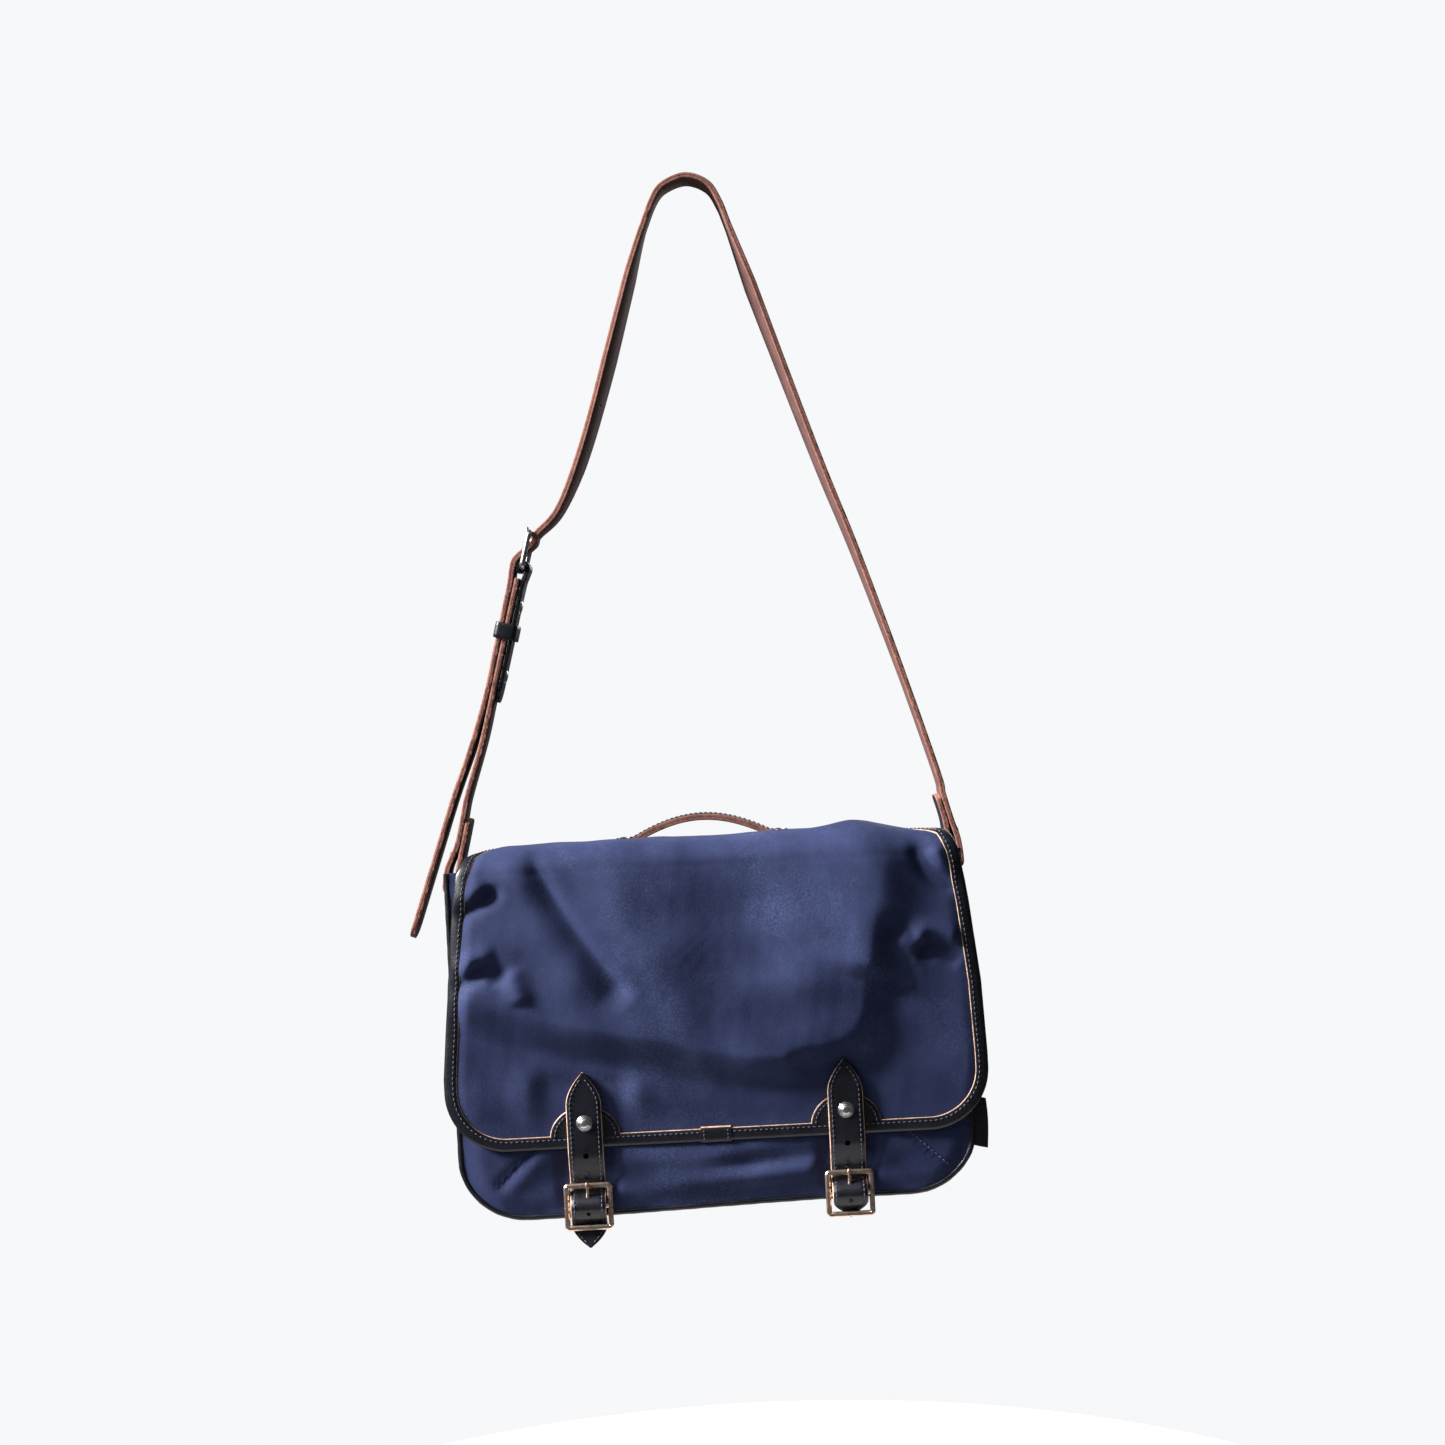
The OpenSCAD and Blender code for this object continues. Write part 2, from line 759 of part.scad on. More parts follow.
// Square frame with a round centre bar
module buckle(s) {
    color(copper) hung() translate([s * closure_x, bar_y, bar_z]) {
        along_y(frame_t) difference() {
            union() {
                for (a = [0, 1])
                    square([frame_w - 2 * frame_round * a, frame_h - 2 * frame_round * (1 - a)], center = true);
                for (x = [-1, 1], z = [-1, 1])
                    translate([x * (frame_w / 2 - frame_round), z * (frame_h / 2 - frame_round)])
                        circle(frame_round);
            }
            square([frame_w - 2 * frame_side, frame_h - 2 * frame_side], center = true);
        }
        rod_x(bar_r, frame_w - 2 * frame_side + 2);
    }
}

module buckle_left() {
    buckle(-1);
}

module buckle_right() {
    buckle(1);
}

// Prong on the centre bar, its tip resting on the frame's upper side
module closure_prong_body(extra) {
    root = [bar_y - 1.9, bar_z + 1.2];
    tip = [bar_y - frame_t / 2 - prong_r - 0.3, bar_z + frame_h / 2 + 1.2];
    lean = atan2(root[0] - tip[0], tip[1] - root[1]);
    difference() {
        union() {
            translate([0, bar_y, bar_z]) rod_x(prong_eye_r + extra, prong_eye_w + 2 * extra);
            translate([0, root[0], root[1]]) rotate([lean, 0, 0])
                cylinder(r = prong_r + extra, h = norm(tip - root));
            translate([0, tip[0], tip[1]]) sphere(prong_r + extra);
        }
        if (extra == 0) translate([0, bar_y, bar_z]) rod_x(bar_r + bar_clear, 10);
    }
}

module prong(s) {
    color(copper) hung() translate([s * closure_x, 0, 0]) closure_prong_body(0);
}

module prong_left() {
    prong(-1);
}

module prong_right() {
    prong(1);
}

strap_crown();
strap_left_leg();
strap_right_leg();
strap_threaded();
strap_tail();
buckle_strap();
chape_fold();
chape_rivets();
shoulder_buckle();
shoulder_prong();
keeper();
front_panel();
back_panel();
gusset_left();
gusset_right();
base_panel();
lining();
inner_pocket();
mouth_binding();
front_piping();
back_piping();
side_tag();
flap_anchor_strip();
ring_tab_left();
ring_tab_right();
ring_left();
ring_right();
strap_end_left();
strap_end_right();
strap_end_rivets();
chape_left();
chape_right();
flap_top();
flap_top_binding_left();
flap_top_binding_right();
handle();
handle_rivets();
flap_front();
flap_binding_left();
flap_binding_right();
flap_binding_bottom();
binding_joint_cover();
flap_patch_left();
flap_patch_right();
closure_top_left();
closure_top_right();
closure_cap_left();
closure_cap_right();
cap_washers();
closure_strap_left();
closure_strap_right();
closure_tail_left();
closure_tail_right();
buckle_left();
buckle_right();
prong_left();
prong_right();
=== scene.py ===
"""Messenger bag that hangs by its leather shoulder strap: the looks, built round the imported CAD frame."""
import math

import bmesh
import bpy
import numpy as np
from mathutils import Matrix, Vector


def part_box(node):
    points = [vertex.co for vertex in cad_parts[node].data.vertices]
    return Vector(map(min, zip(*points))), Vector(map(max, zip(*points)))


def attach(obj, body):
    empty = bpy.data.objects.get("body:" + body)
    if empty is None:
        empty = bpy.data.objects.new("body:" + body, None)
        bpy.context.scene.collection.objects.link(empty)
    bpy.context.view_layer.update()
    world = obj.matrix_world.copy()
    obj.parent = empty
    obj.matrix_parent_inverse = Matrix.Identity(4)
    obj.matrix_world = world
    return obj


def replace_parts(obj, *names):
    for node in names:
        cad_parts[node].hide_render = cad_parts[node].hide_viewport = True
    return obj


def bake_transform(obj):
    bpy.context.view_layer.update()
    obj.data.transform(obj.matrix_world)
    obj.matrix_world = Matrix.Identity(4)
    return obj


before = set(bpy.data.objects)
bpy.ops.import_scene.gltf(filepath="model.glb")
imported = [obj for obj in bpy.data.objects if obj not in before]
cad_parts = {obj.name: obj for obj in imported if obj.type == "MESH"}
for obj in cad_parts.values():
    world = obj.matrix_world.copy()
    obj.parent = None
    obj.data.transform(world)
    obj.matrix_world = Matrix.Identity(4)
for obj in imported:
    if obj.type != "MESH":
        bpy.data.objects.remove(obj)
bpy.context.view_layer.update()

# ---------------------------------------------------------------- the bag's own frame
# Shapes are given in millimetres from the middle of the bag's base, and row() takes them to the row frame.
panel_low, panel_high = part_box("front_panel")
ORIGIN = np.array([(panel_low.x + panel_high.x) / 2, 0, panel_low.z])
X_AXIS, Y_AXIS, Z_AXIS = np.eye(3)
CLOSURE_X = 96.0


def row(p):
    return np.asarray(p, float) / 1000 + ORIGIN


def unit(v):
    v = np.asarray(v, float)
    return v / np.maximum(np.linalg.norm(v, axis=-1, keepdims=True), 1e-9)


def smooth(a, b, x):
    t = np.clip((x - a) / (b - a), 0, 1)
    return t * t * (3 - 2 * t)


def spline(points, n=10):
    """Catmull-Rom points through a route."""
    p = np.asarray(points, float)
    out = []
    for i in range(len(p) - 1):
        a, b, c, d = p[max(i - 1, 0)], p[i], p[i + 1], p[min(i + 2, len(p) - 1)]
        for k in range(n):
            t = k / n
            out.append(0.5 * (2 * b + (c - a) * t + (2 * a - 5 * b + 4 * c - d) * t * t
                              + (3 * b - a - 3 * c + d) * t ** 3))
    out.append(p[-1])
    return np.array(out)


def lengths(path):
    return np.concatenate([[0], np.cumsum(np.linalg.norm(np.diff(path, axis=0), axis=1))])


def resample(path, step):
    """The path's points at an even step."""
    at = lengths(path)
    s = np.linspace(0, at[-1], max(2, int(round(at[-1] / step)) + 1))
    return np.stack([np.interp(s, at, path[:, k]) for k in range(path.shape[1])], 1)


def tangents(path, closed=False):
    if closed:
        return unit(np.roll(path, -1, 0) - np.roll(path, 1, 0))
    return unit(np.gradient(path, axis=0))


# ---------------------------------------------------------------- materials


def shader(name):
    mat = bpy.data.materials.new(name)
    mat.use_nodes = True
    tree = mat.node_tree
    bsdf = tree.nodes["Principled BSDF"]
    coord = tree.nodes.new("ShaderNodeTexCoord")
    return mat, tree, bsdf, coord.outputs["Object"]


def noise(tree, coord, scale, detail=4, rough=0.55, stretch=None):
    if stretch is not None:
        mapping = tree.nodes.new("ShaderNodeMapping")
        put(mapping, Scale=stretch)
        tree.links.new(coord, mapping.inputs["Vector"])
        coord = mapping.outputs["Vector"]
    node = tree.nodes.new("ShaderNodeTexNoise")
    put(node, Scale=scale, Detail=detail, Roughness=rough)
    tree.links.new(coord, node.inputs["Vector"])
    return node.outputs["Fac"]


def bands(tree, coord, axis, period, distortion=0.4):
    """Ridges across an axis, one each period metres."""
    node = tree.nodes.new("ShaderNodeTexWave")
    node.wave_type = "BANDS"
    node.bands_direction = axis
    put(node, Scale=math.pi / 10 / period, Distortion=distortion, Detail=1)
    tree.links.new(coord, node.inputs["Vector"])
    return node.outputs["Fac"]


def ramp(tree, fac, stops):
    node = tree.nodes.new("ShaderNodeValToRGB")
    elements = node.color_ramp.elements
    while len(elements) < len(stops):
        elements.new(0.5)
    for element, (at, colour) in zip(elements, stops):
        element.position = at
        element.color = (*colour, 1) if len(colour) == 3 else (colour[0],) * 3 + (1,)
    tree.links.new(fac, node.inputs["Fac"])
    return node.outputs["Color"]


def math_node(tree, op, a, b):
    node = tree.nodes.new("ShaderNodeMath")
    node.operation = op
    for socket, value in zip(node.inputs, (a, b)):
        if isinstance(value, (int, float)):
            socket.default_value = value
        else:
            tree.links.new(value, socket)
    return node.outputs[0]


def blend_colour(tree, fac, a, b, mode="MIX"):
    node = tree.nodes.new("ShaderNodeMixRGB")
    node.blend_type = mode
    for socket, value in zip(node.inputs, (fac, a, b)):
        if isinstance(value, (int, float)):
            socket.default_value = value
        elif isinstance(value, tuple):
            socket.default_value = (*value, 1)
        else:
            tree.links.new(value, socket)
    return node.outputs[0]


def put(node, **values):
    """Sets a node's inputs; an underscore stands for the space in an input's name."""
    for name, value in values.items():
        node.inputs[name.replace("_", " ")].default_value = value


def paint(tree, bsdf, colour, rough):
    """Gives a surface its colour, and its roughness from a number or another node."""
    tree.links.new(colour, bsdf.inputs["Base Color"])
    if isinstance(rough, float):
        put(bsdf, Roughness=rough)
    else:
        tree.links.new(rough, bsdf.inputs["Roughness"])


def scaled(tree, value, by, add=0.0):
    product = math_node(tree, "MULTIPLY", value, by)
    return math_node(tree, "ADD", product, add) if add else product


def bump(tree, bsdf, height, strength, distance):
    node = tree.nodes.new("ShaderNodeBump")
    put(node, Strength=strength, Distance=distance)
    tree.links.new(height, node.inputs["Height"])
    tree.links.new(node.outputs["Normal"], bsdf.inputs["Normal"])


def cloth_material(name, dark, light, worn, period=0.0011, sheen=0.25, shine=0.18):
    """Plain-woven canvas: uneven threads both ways with painted shade in their low parts, mottled colour,
    paler worn patches.
    """
    mat, tree, bsdf, coord = shader(name)
    mottle = noise(tree, coord, 16, 6, 0.62)
    base = ramp(tree, mottle, [(0.34, dark), (0.66, light)])
    patches = ramp(tree, noise(tree, coord, 11, 9, 0.68), [(0.5, (0,)), (0.72, (1,))])
    grain = noise(tree, coord, 700, 3, 0.7)
    speckle = ramp(tree, grain, [(0.42, (0,)), (0.62, (1,))])
    worn_mask = math_node(tree, "MULTIPLY", patches, speckle)
    colour = blend_colour(tree, scaled(tree, worn_mask, 0.6), base, worn)
    warp = noise(tree, coord, 0.5 / period, 2, 0.6, (1.5, 1.5, 0.7))
    weft = noise(tree, coord, 0.5 / period, 2, 0.6, (0.7, 0.7, 1.5))
    threads = math_node(tree, "ADD", warp, weft)
    # painted shade: the colour is multiplied darker where the threads' relief is low and a little lighter
    # where it is high, following the bump
    shade = ramp(tree, scaled(tree, threads, 0.5), [(0.4, (0.93,)), (0.6, (1.05,))])
    paint(tree, bsdf, blend_colour(tree, 1.0, colour, shade, "MULTIPLY"), ramp(tree, mottle, [(0.3, (0.86,)),
                                                                                              (0.7,
                                                                                               (0.68,))]))
    put(bsdf, Specular_IOR_Level=shine, Sheen_Weight=sheen, Sheen_Roughness=0.45, Sheen_Tint=(0.55, 0.62, 0.9,
                                                                                              1))
    bump(tree, bsdf, math_node(tree, "ADD", threads, scaled(tree, grain, 0.8)), 0.26, 0.0003)
    return mat


def leather_material(name, dark, light, rough=0.34, grain=900, coat=0.25, depth=0.00022):
    """Grained leather with a soft polish and faint creases."""
    mat, tree, bsdf, coord = shader(name)
    cells = tree.nodes.new("ShaderNodeTexVoronoi")
    cells.feature = "SMOOTH_F1"
    put(cells, Scale=grain)
    tree.links.new(coord, cells.inputs["Vector"])
    mottle = noise(tree, coord, 60, 5, 0.6)
    creases = noise(tree, coord, 260, 6, 0.7)
    paint(tree, bsdf, ramp(tree, mottle, [(0.35, dark), (0.7, light)]), scaled(tree, creases, 0.22,
                                                                               rough - 0.1))
    put(bsdf, Specular_IOR_Level=0.36, Coat_Weight=coat, Coat_Roughness=0.22)
    height = math_node(tree, "ADD", cells.outputs["Distance"], scaled(tree, creases, 0.8))
    bump(tree, bsdf, height, 0.45, depth)
    return mat


def raw_material(name, dark, light, fibres=520, rough=0.8):
    """Raw leather: the cut edge or the flesh side, with fibres and blotches."""
    mat, tree, bsdf, coord = shader(name)
    fibre = noise(tree, coord, fibres, 5, 0.75)
    blotch = noise(tree, coord, 70, 4, 0.6)
    mixed = math_node(tree, "ADD", scaled(tree, fibre, 0.6), scaled(tree, blotch, 0.4))
    paint(tree, bsdf, ramp(tree, mixed, [(0.36, dark), (0.62, light)]), scaled(tree, blotch, 0.2,
                                                                               rough - 0.1))
    bump(tree, bsdf, fibre, 0.5, 0.0003)
    return mat


def metal_material(name, colour, tint, rough=0.2, metallic=1.0):
    """Polished cast metal with fine scratches and a little tarnish."""
    mat, tree, bsdf, coord = shader(name)
    tarnish = noise(tree, coord, 150, 5, 0.65)
    scratch = noise(tree, coord, 400, 4, 0.7, (1, 1, 9))
    paint(tree, bsdf, ramp(tree, tarnish, [(0.38, tint), (0.62, colour)]), scaled(tree, scratch, 0.25,
                                                                                  rough - 0.08))
    put(bsdf, Metallic=metallic)
    bump(tree, bsdf, scratch, 0.15, 0.0001)
    return mat


def thread_material(name, dark, light):
    mat, tree, bsdf, coord = shader(name)
    twist = bands(tree, coord, "DIAGONAL", 0.0007, 1.0)
    # painted highlight and shade: the twist's ridges are coloured lighter as glints and its grooves darker,
    # following the same bands as the bump
    paint(tree, bsdf, ramp(tree, twist, [(0.2, dark), (0.8, light)]), 0.6)
    bump(tree, bsdf, twist, 0.4, 0.0001)
    return mat


def plaster_material(name, colour):
    mat, tree, bsdf, coord = shader(name)
    patchy = noise(tree, coord, 3, 4, 0.5)
    shade = tuple(c * 0.985 for c in colour)
    paint(tree, bsdf, ramp(tree, patchy, [(0.4, shade), (0.6, colour)]), 0.9)
    return mat


CLOTH = cloth_material("navy_canvas", (0.015, 0.0205, 0.056), (0.024, 0.032, 0.084), (0.065, 0.085, 0.18),
                       sheen=0.02, shine=0.1)
LINING = cloth_material("lining_twill", (0.055, 0.058, 0.072), (0.075, 0.08, 0.097), (0.11, 0.115, 0.13),
                        0.0009, 0.1)
TAG = cloth_material("tag_ribbon", (0.007, 0.007, 0.009), (0.012, 0.012, 0.015), (0.03, 0.03, 0.035), 0.0008,
                     0.1)
LEATHER = leather_material("navy_leather", (0.003, 0.0032, 0.0055), (0.007, 0.0075, 0.013), 0.36, coat=0.25)
STRAP_FACE = leather_material("strap_face", (0.006, 0.007, 0.014), (0.014, 0.015, 0.028), 0.42, 800, 0.12)
EDGE = raw_material("leather_edge", (0.085, 0.026, 0.018), (0.27, 0.115, 0.085))
FLESH = raw_material("leather_flesh", (0.045, 0.015, 0.014), (0.10, 0.038, 0.033), 420, 0.86)
TAN = raw_material("binding_edge", (0.17, 0.075, 0.045), (0.55, 0.37, 0.25), 300, 0.75)
# the thread's lighter colour is painted glint on the twist's ridges, its darker colour painted shade in the
# grooves
THREAD = thread_material("navy_thread", (0.012, 0.014, 0.028), (0.065, 0.072, 0.12))
SILVER = metal_material("nickel", (0.72, 0.71, 0.70), (0.48, 0.47, 0.46), 0.26)
COPPER = metal_material("copper_metal", (0.96, 0.78, 0.66), (0.82, 0.58, 0.44), 0.24)
BLACK = metal_material("black_metal", (0.030, 0.030, 0.034), (0.015, 0.015, 0.018), 0.38, 0.7)

# ---------------------------------------------------------------- mesh building
# A part is (points, faces, material index of each face); several parts make one piece.


def merged(parts):
    points, faces, index, n = [], [], [], 0
    for p, f, i in parts:
        points.append(np.asarray(p, float).reshape(-1, 3))
        faces += [tuple(int(v) + n for v in face) for face in f]
        index += list(i)
        n += len(points[-1])
    return np.concatenate(points), faces, index


def quads(n, m, closed=False):
    """Faces between n rings of m points, in the rings' order."""
    faces = []
    for i in range(n if closed else n - 1):
        k = (i + 1) % n
        faces += [(i * m + j, i * m + (j + 1) % m, k * m + (j + 1) % m, k * m + j) for j in range(m)]
    return faces


def ends_of(n, m):
    return [tuple(range(m)), tuple((n - 1) * m + j for j in reversed(range(m)))]


def mesh_of(name, parts, materials=(), weld=0.0):
    """The parts as one mesh with its faces turned outward; weld closes up edges shorter than itself."""
    points, faces, index = merged(parts)
    mesh = bpy.data.meshes.new(name)
    mesh.from_pydata(row(points).tolist(), [], faces)
    for m in materials:
        mesh.materials.append(m)
    mesh.polygons.foreach_set("material_index", index)
    b = bmesh.new()
    b.from_mesh(mesh)
    if weld:
        bmesh.ops.dissolve_degenerate(b, edges=b.edges, dist=weld)
    bmesh.ops.recalc_face_normals(b, faces=b.faces)
    b.to_mesh(mesh)
    b.free()
    return mesh


def linked(name, data):
    obj = bpy.data.objects.new(name, data)
    bpy.context.scene.collection.objects.link(obj)
    return obj


def piece(name, parts, materials, sharp=38):
    mesh = mesh_of(name, parts, materials, 1e-7)
    mesh.polygons.foreach_set("use_smooth", [True] * len(mesh.polygons))
    mesh.set_sharp_from_angle(angle=math.radians(sharp))
    mesh.update()
    obj = linked(name, mesh)
    return obj


def cut(obj, cutters):
    """Takes closed tubes out of a piece, such as punched holes."""
    tool = linked("cutter", mesh_of("cutter", cutters))
    boolean = obj.modifiers.new("holes", "BOOLEAN")
    boolean.operation, boolean.solver, boolean.object = "DIFFERENCE", "EXACT", tool
    depsgraph = bpy.context.evaluated_depsgraph_get()
    made = bpy.data.meshes.new_from_object(obj.evaluated_get(depsgraph))
    obj.modifiers.clear()
    obj.data = made
    bpy.data.objects.remove(tool)


def shell(outer, thick, flip=False):
    """A cloth of that thickness whose outer face is a grid of points: face 0, inner 1, rim 2."""
    n = unit(np.cross(np.gradient(outer, axis=0), np.gradient(outer, axis=1)))
    inner = outer + n * thick * (1 if flip else -1)
    nu, nv = outer.shape[:2]
    a = np.arange(nu * nv).reshape(nu, nv)
    b = a + nu * nv
    faces, index = [], []
    for i in range(nu - 1):
        for j in range(nv - 1):
            faces.append((a[i, j], a[i + 1, j], a[i + 1, j + 1], a[i, j + 1]))
            faces.append((b[i, j], b[i, j + 1], b[i + 1, j + 1], b[i + 1, j]))
            index += [0, 1]
    for line_a, line_b in ((a[0], b[0]), (a[-1], b[-1]), (a[:, 0], b[:, 0]), (a[:, -1], b[:, -1])):
        for k in range(len(line_a) - 1):
            faces.append((line_a[k], line_a[k + 1], line_b[k + 1], line_b[k]))
            index.append(2)
    return np.concatenate([outer.reshape(-1, 3), inner.reshape(-1, 3)]), faces, index


def sweep(path, across, out, profile, index, closed=False, width=None):
    """A closed profile, points of (across, out), carried along a path. index is its edges' materials."""
    path, profile = np.asarray(path, float), np.asarray(profile, float)
    n, m = len(path), len(profile)
    across = np.broadcast_to(across, path.shape)
    out = np.broadcast_to(out, path.shape)
    wide = np.ones(n) if width is None else np.asarray(width, float)
    points = (path[:, None] + across[:, None] * (profile[None, :, :1] * wide[:, None, None])
              + out[:, None] * profile[None, :, 1:])
    faces, tags = [], []
    for i in range(n if closed else n - 1):
        for j in range(m):
            k, l = (i + 1) % n, (j + 1) % m
            faces.append((i * m + j, k * m + j, k * m + l, i * m + l))
            tags.append(index[j])
    if not closed:
        faces += ends_of(n, m)
        tags += [max(index)] * 2
    return points.reshape(-1, 3), faces, tags


def tube(path, radius, closed=False, sides=14, index=0):
    """A round rod along a path; radius is one number or one for each point."""
    path = np.asarray(path, float)
    t = tangents(path, closed)
    across = np.cross(t[0], X_AXIS if abs(t[0][0]) < 0.8 else Z_AXIS)
    frames = []
    for d in t:
        across = unit(across - d * np.dot(across, d))
        frames.append((across, np.cross(d, across)))
    r = np.broadcast_to(radius, (len(path),))
    a = np.linspace(0, 2 * math.pi, sides, endpoint=False)
    points = np.array([p + q * (np.outer(np.cos(a), u) + np.outer(np.sin(a), v))
                       for p, q, (u, v) in zip(path, r, frames)])
    faces = quads(len(path), sides, closed)
    if not closed:
        faces += ends_of(len(path), sides)
    return points.reshape(-1, 3), faces, [index] * len(faces)


def rod(start, end, radius, round_end=True, sides=14, index=0):
    """A straight rod with softly rounded ends."""
    start, end = np.asarray(start, float), np.asarray(end, float)
    long = np.linalg.norm(end - start)
    e = min(radius * 0.6, long / 3)
    s = np.array([0, 0.3 * e, e, long - e, long - 0.3 * e, long]) / long
    r = radius * np.array([0.5, 0.85, 1, 1, 0.85, 0.5]) if round_end else np.full(6, radius)
    return tube(start + np.outer(s, end - start), r, sides=sides, index=index)


def lathe(centre, axis, profile, seg=36, index=0):
    """A turned shape: profile is points of (radius, height along the axis), out from the axis and back."""
    axis = unit(axis)
    u = unit(np.cross(axis, X_AXIS if abs(axis[0]) < 0.8 else Z_AXIS))
    v = np.cross(axis, u)
    a = np.linspace(0, 2 * math.pi, seg, endpoint=False)
    spokes = np.outer(np.cos(a), u) + np.outer(np.sin(a), v)
    rings = [np.asarray(centre) + axis * h + r * spokes for r, h in profile]
    faces = quads(len(profile), seg)
    faces += [tuple(range(seg)), tuple((len(profile) - 1) * seg + j for j in range(seg))]
    return np.concatenate(rings), faces, [index] * len(faces)


def rounded_loop(half_a, half_b, r, n=6):
    """Corner points of a rounded rectangle, as (a, b) pairs."""
    out = []
    for sa, sb, a0 in ((1, 1, 0), (-1, 1, 90), (-1, -1, 180), (1, -1, 270)):
        for k in range(n + 1):
            a = math.radians(a0 + 90 * k / n)
            out.append((sa * (half_a - r) + r * math.cos(a), sb * (half_b - r) + r * math.sin(a)))
    return np.array(out)


# one stitch: place along it, share of the full radius, height
STITCH = ((-0.5, 0.35, -0.25), (-0.3, 0.95, 0.12), (0, 1, 0.22), (0.3, 0.95, 0.12), (0.5, 0.35, -0.25))


def stitches(path, normal, pitch=3.8, long=2.7, thick=0.42, lift=0.1, index=0):
    """A row of sewn stitches: small arched lengths of thread along a path on a surface."""
    at = lengths(path)
    count = max(1, int(at[-1] / pitch))
    s = (np.arange(count) + 0.5) * at[-1] / count
    normal = np.broadcast_to(normal, path.shape)

    def along(values, where):
        return np.stack([np.interp(where, at, values[:, k]) for k in range(3)], -1)

    parts = []
    sides = 6
    a = np.linspace(0, 2 * math.pi, sides, endpoint=False)
    for p in s:
        n = unit(along(normal, p))
        d = unit(along(path, p + 0.6) - along(path, p - 0.6))
        side = unit(np.cross(d, n))
        rings = []
        for f, r, h in STITCH:
            centre = along(path, p) + d * f * long + n * (lift + h * thick * 2)
            rings.append(centre + thick * r * (np.outer(np.cos(a), side) + np.outer(np.sin(a), n) * 0.8))
        faces = quads(len(STITCH), sides) + ends_of(len(STITCH), sides)
        parts.append((np.concatenate(rings), faces, [index] * len(faces)))
    return merged(parts)


# ---------------------------------------------------------------- folds in cloth


def line_field(x, z, points):
    """Signed distance to a line of points, positive on its left, and the nearest place's share of it."""
    points = np.asarray(points, float)
    total = lengths(points)
    best = np.full(x.shape, 1e9)
    signed, where = np.zeros(x.shape), np.zeros(x.shape)
    for i in range(len(points) - 1):
        (ax, az), (bx, bz) = points[i], points[i + 1]
        dx, dz = bx - ax, bz - az
        t = np.clip(((x - ax) * dx + (z - az) * dz) / (dx * dx + dz * dz), 0, 1)
        ex, ez = x - ax - dx * t, z - az - dz * t
        d = np.hypot(ex, ez)
        near = d < best
        best = np.where(near, d, best)
        signed = np.where(near, d * np.sign(dx * ez - dz * ex + 1e-9), signed)
        where = np.where(near, (total[i] + t * (total[i + 1] - total[i])) / total[-1], where)
    return signed, where


def fold(x, z, points, high, right, left, ends=0.3):
    """A ridge, or a valley where high is negative, along a line; right and left are its widths."""
    points = spline(points, 6)
    d, t = line_field(x, z, points)
    fade = smooth(0, ends, t + 0.02) * smooth(0, ends, 1.02 - t) if ends else 1
    return high * np.exp(-(d / np.where(d > 0, left, right)) ** 2) * fade


def ripples(x, z, high, seed, low=22, top=70, count=14):
    """Small seeded unevenness, with wavelengths between low and top."""
    rng = np.random.default_rng(seed)
    total = np.zeros(x.shape)
    for _ in range(count):
        wave, turn, phase = rng.uniform(low, top), rng.uniform(0, math.pi), rng.uniform(0, 2 * math.pi)
        total += np.sin((x * math.cos(turn) + z * math.sin(turn)) * 2 * math.pi / wave + phase)
    return high * total / math.sqrt(count)


# ---------------------------------------------------------------- flap
# The flap runs up from the seam behind the back panel, over the top and down the front. "along" is the
# distance along that line; "level" is the height on the front and carries on past the fold for the top.
FLAP_LINE = spline([(57.4, 246), (57.2, 256), (55.8, 264.5), (51, 269.8), (44, 271.6), (20, 273.3),
                    (0, 274.3), (-25, 275), (-42, 274.2), (-52, 271), (-58.6, 264.4), (-60.6, 255),
                    (-61.3, 244), (-61.6, 230), (-61.6, 205), (-61.6, 150), (-61.6, 52)], 14)
FLAP_AT = lengths(FLAP_LINE)
FLAP_DIR = tangents(FLAP_LINE)
FLAP_LOW, FLAP_CORNER = 52, 45
FOLD_AT = float(np.interp(52, -FLAP_LINE[:, 0], FLAP_AT))
SPLIT_AT = float(np.interp(-8, -FLAP_LINE[:, 0], FLAP_AT))
END_AT = FLAP_AT[-1]


def along_at_height(z):
    front = FLAP_AT > FOLD_AT - 1
    return np.interp(-np.asarray(z, float), -FLAP_LINE[front, 1], FLAP_AT[front])


def half_width(along, side):
    """From the middle of the bag to the flap's edge, on the left (-1) or right (1)."""
    keys = [0, SPLIT_AT + 25, FOLD_AT - 22, FOLD_AT - 10, FOLD_AT, along_at_height(258), along_at_height(219),
            along_at_height(160), along_at_height(107)]
    left = [154, 155, 159, 168, 176, 182, 187, 193, 198]
    right = [154, 155, 160, 172, 183, 189, 194.5, 200.5, 202.5]
    h = np.interp(along, keys, left if side < 0 else right)
    drop = np.clip((along - along_at_height(FLAP_LOW + FLAP_CORNER)) / FLAP_CORNER, 0, 1)
    return h - FLAP_CORNER * (1 - np.sqrt(np.maximum(0, 1 - drop ** 2)))


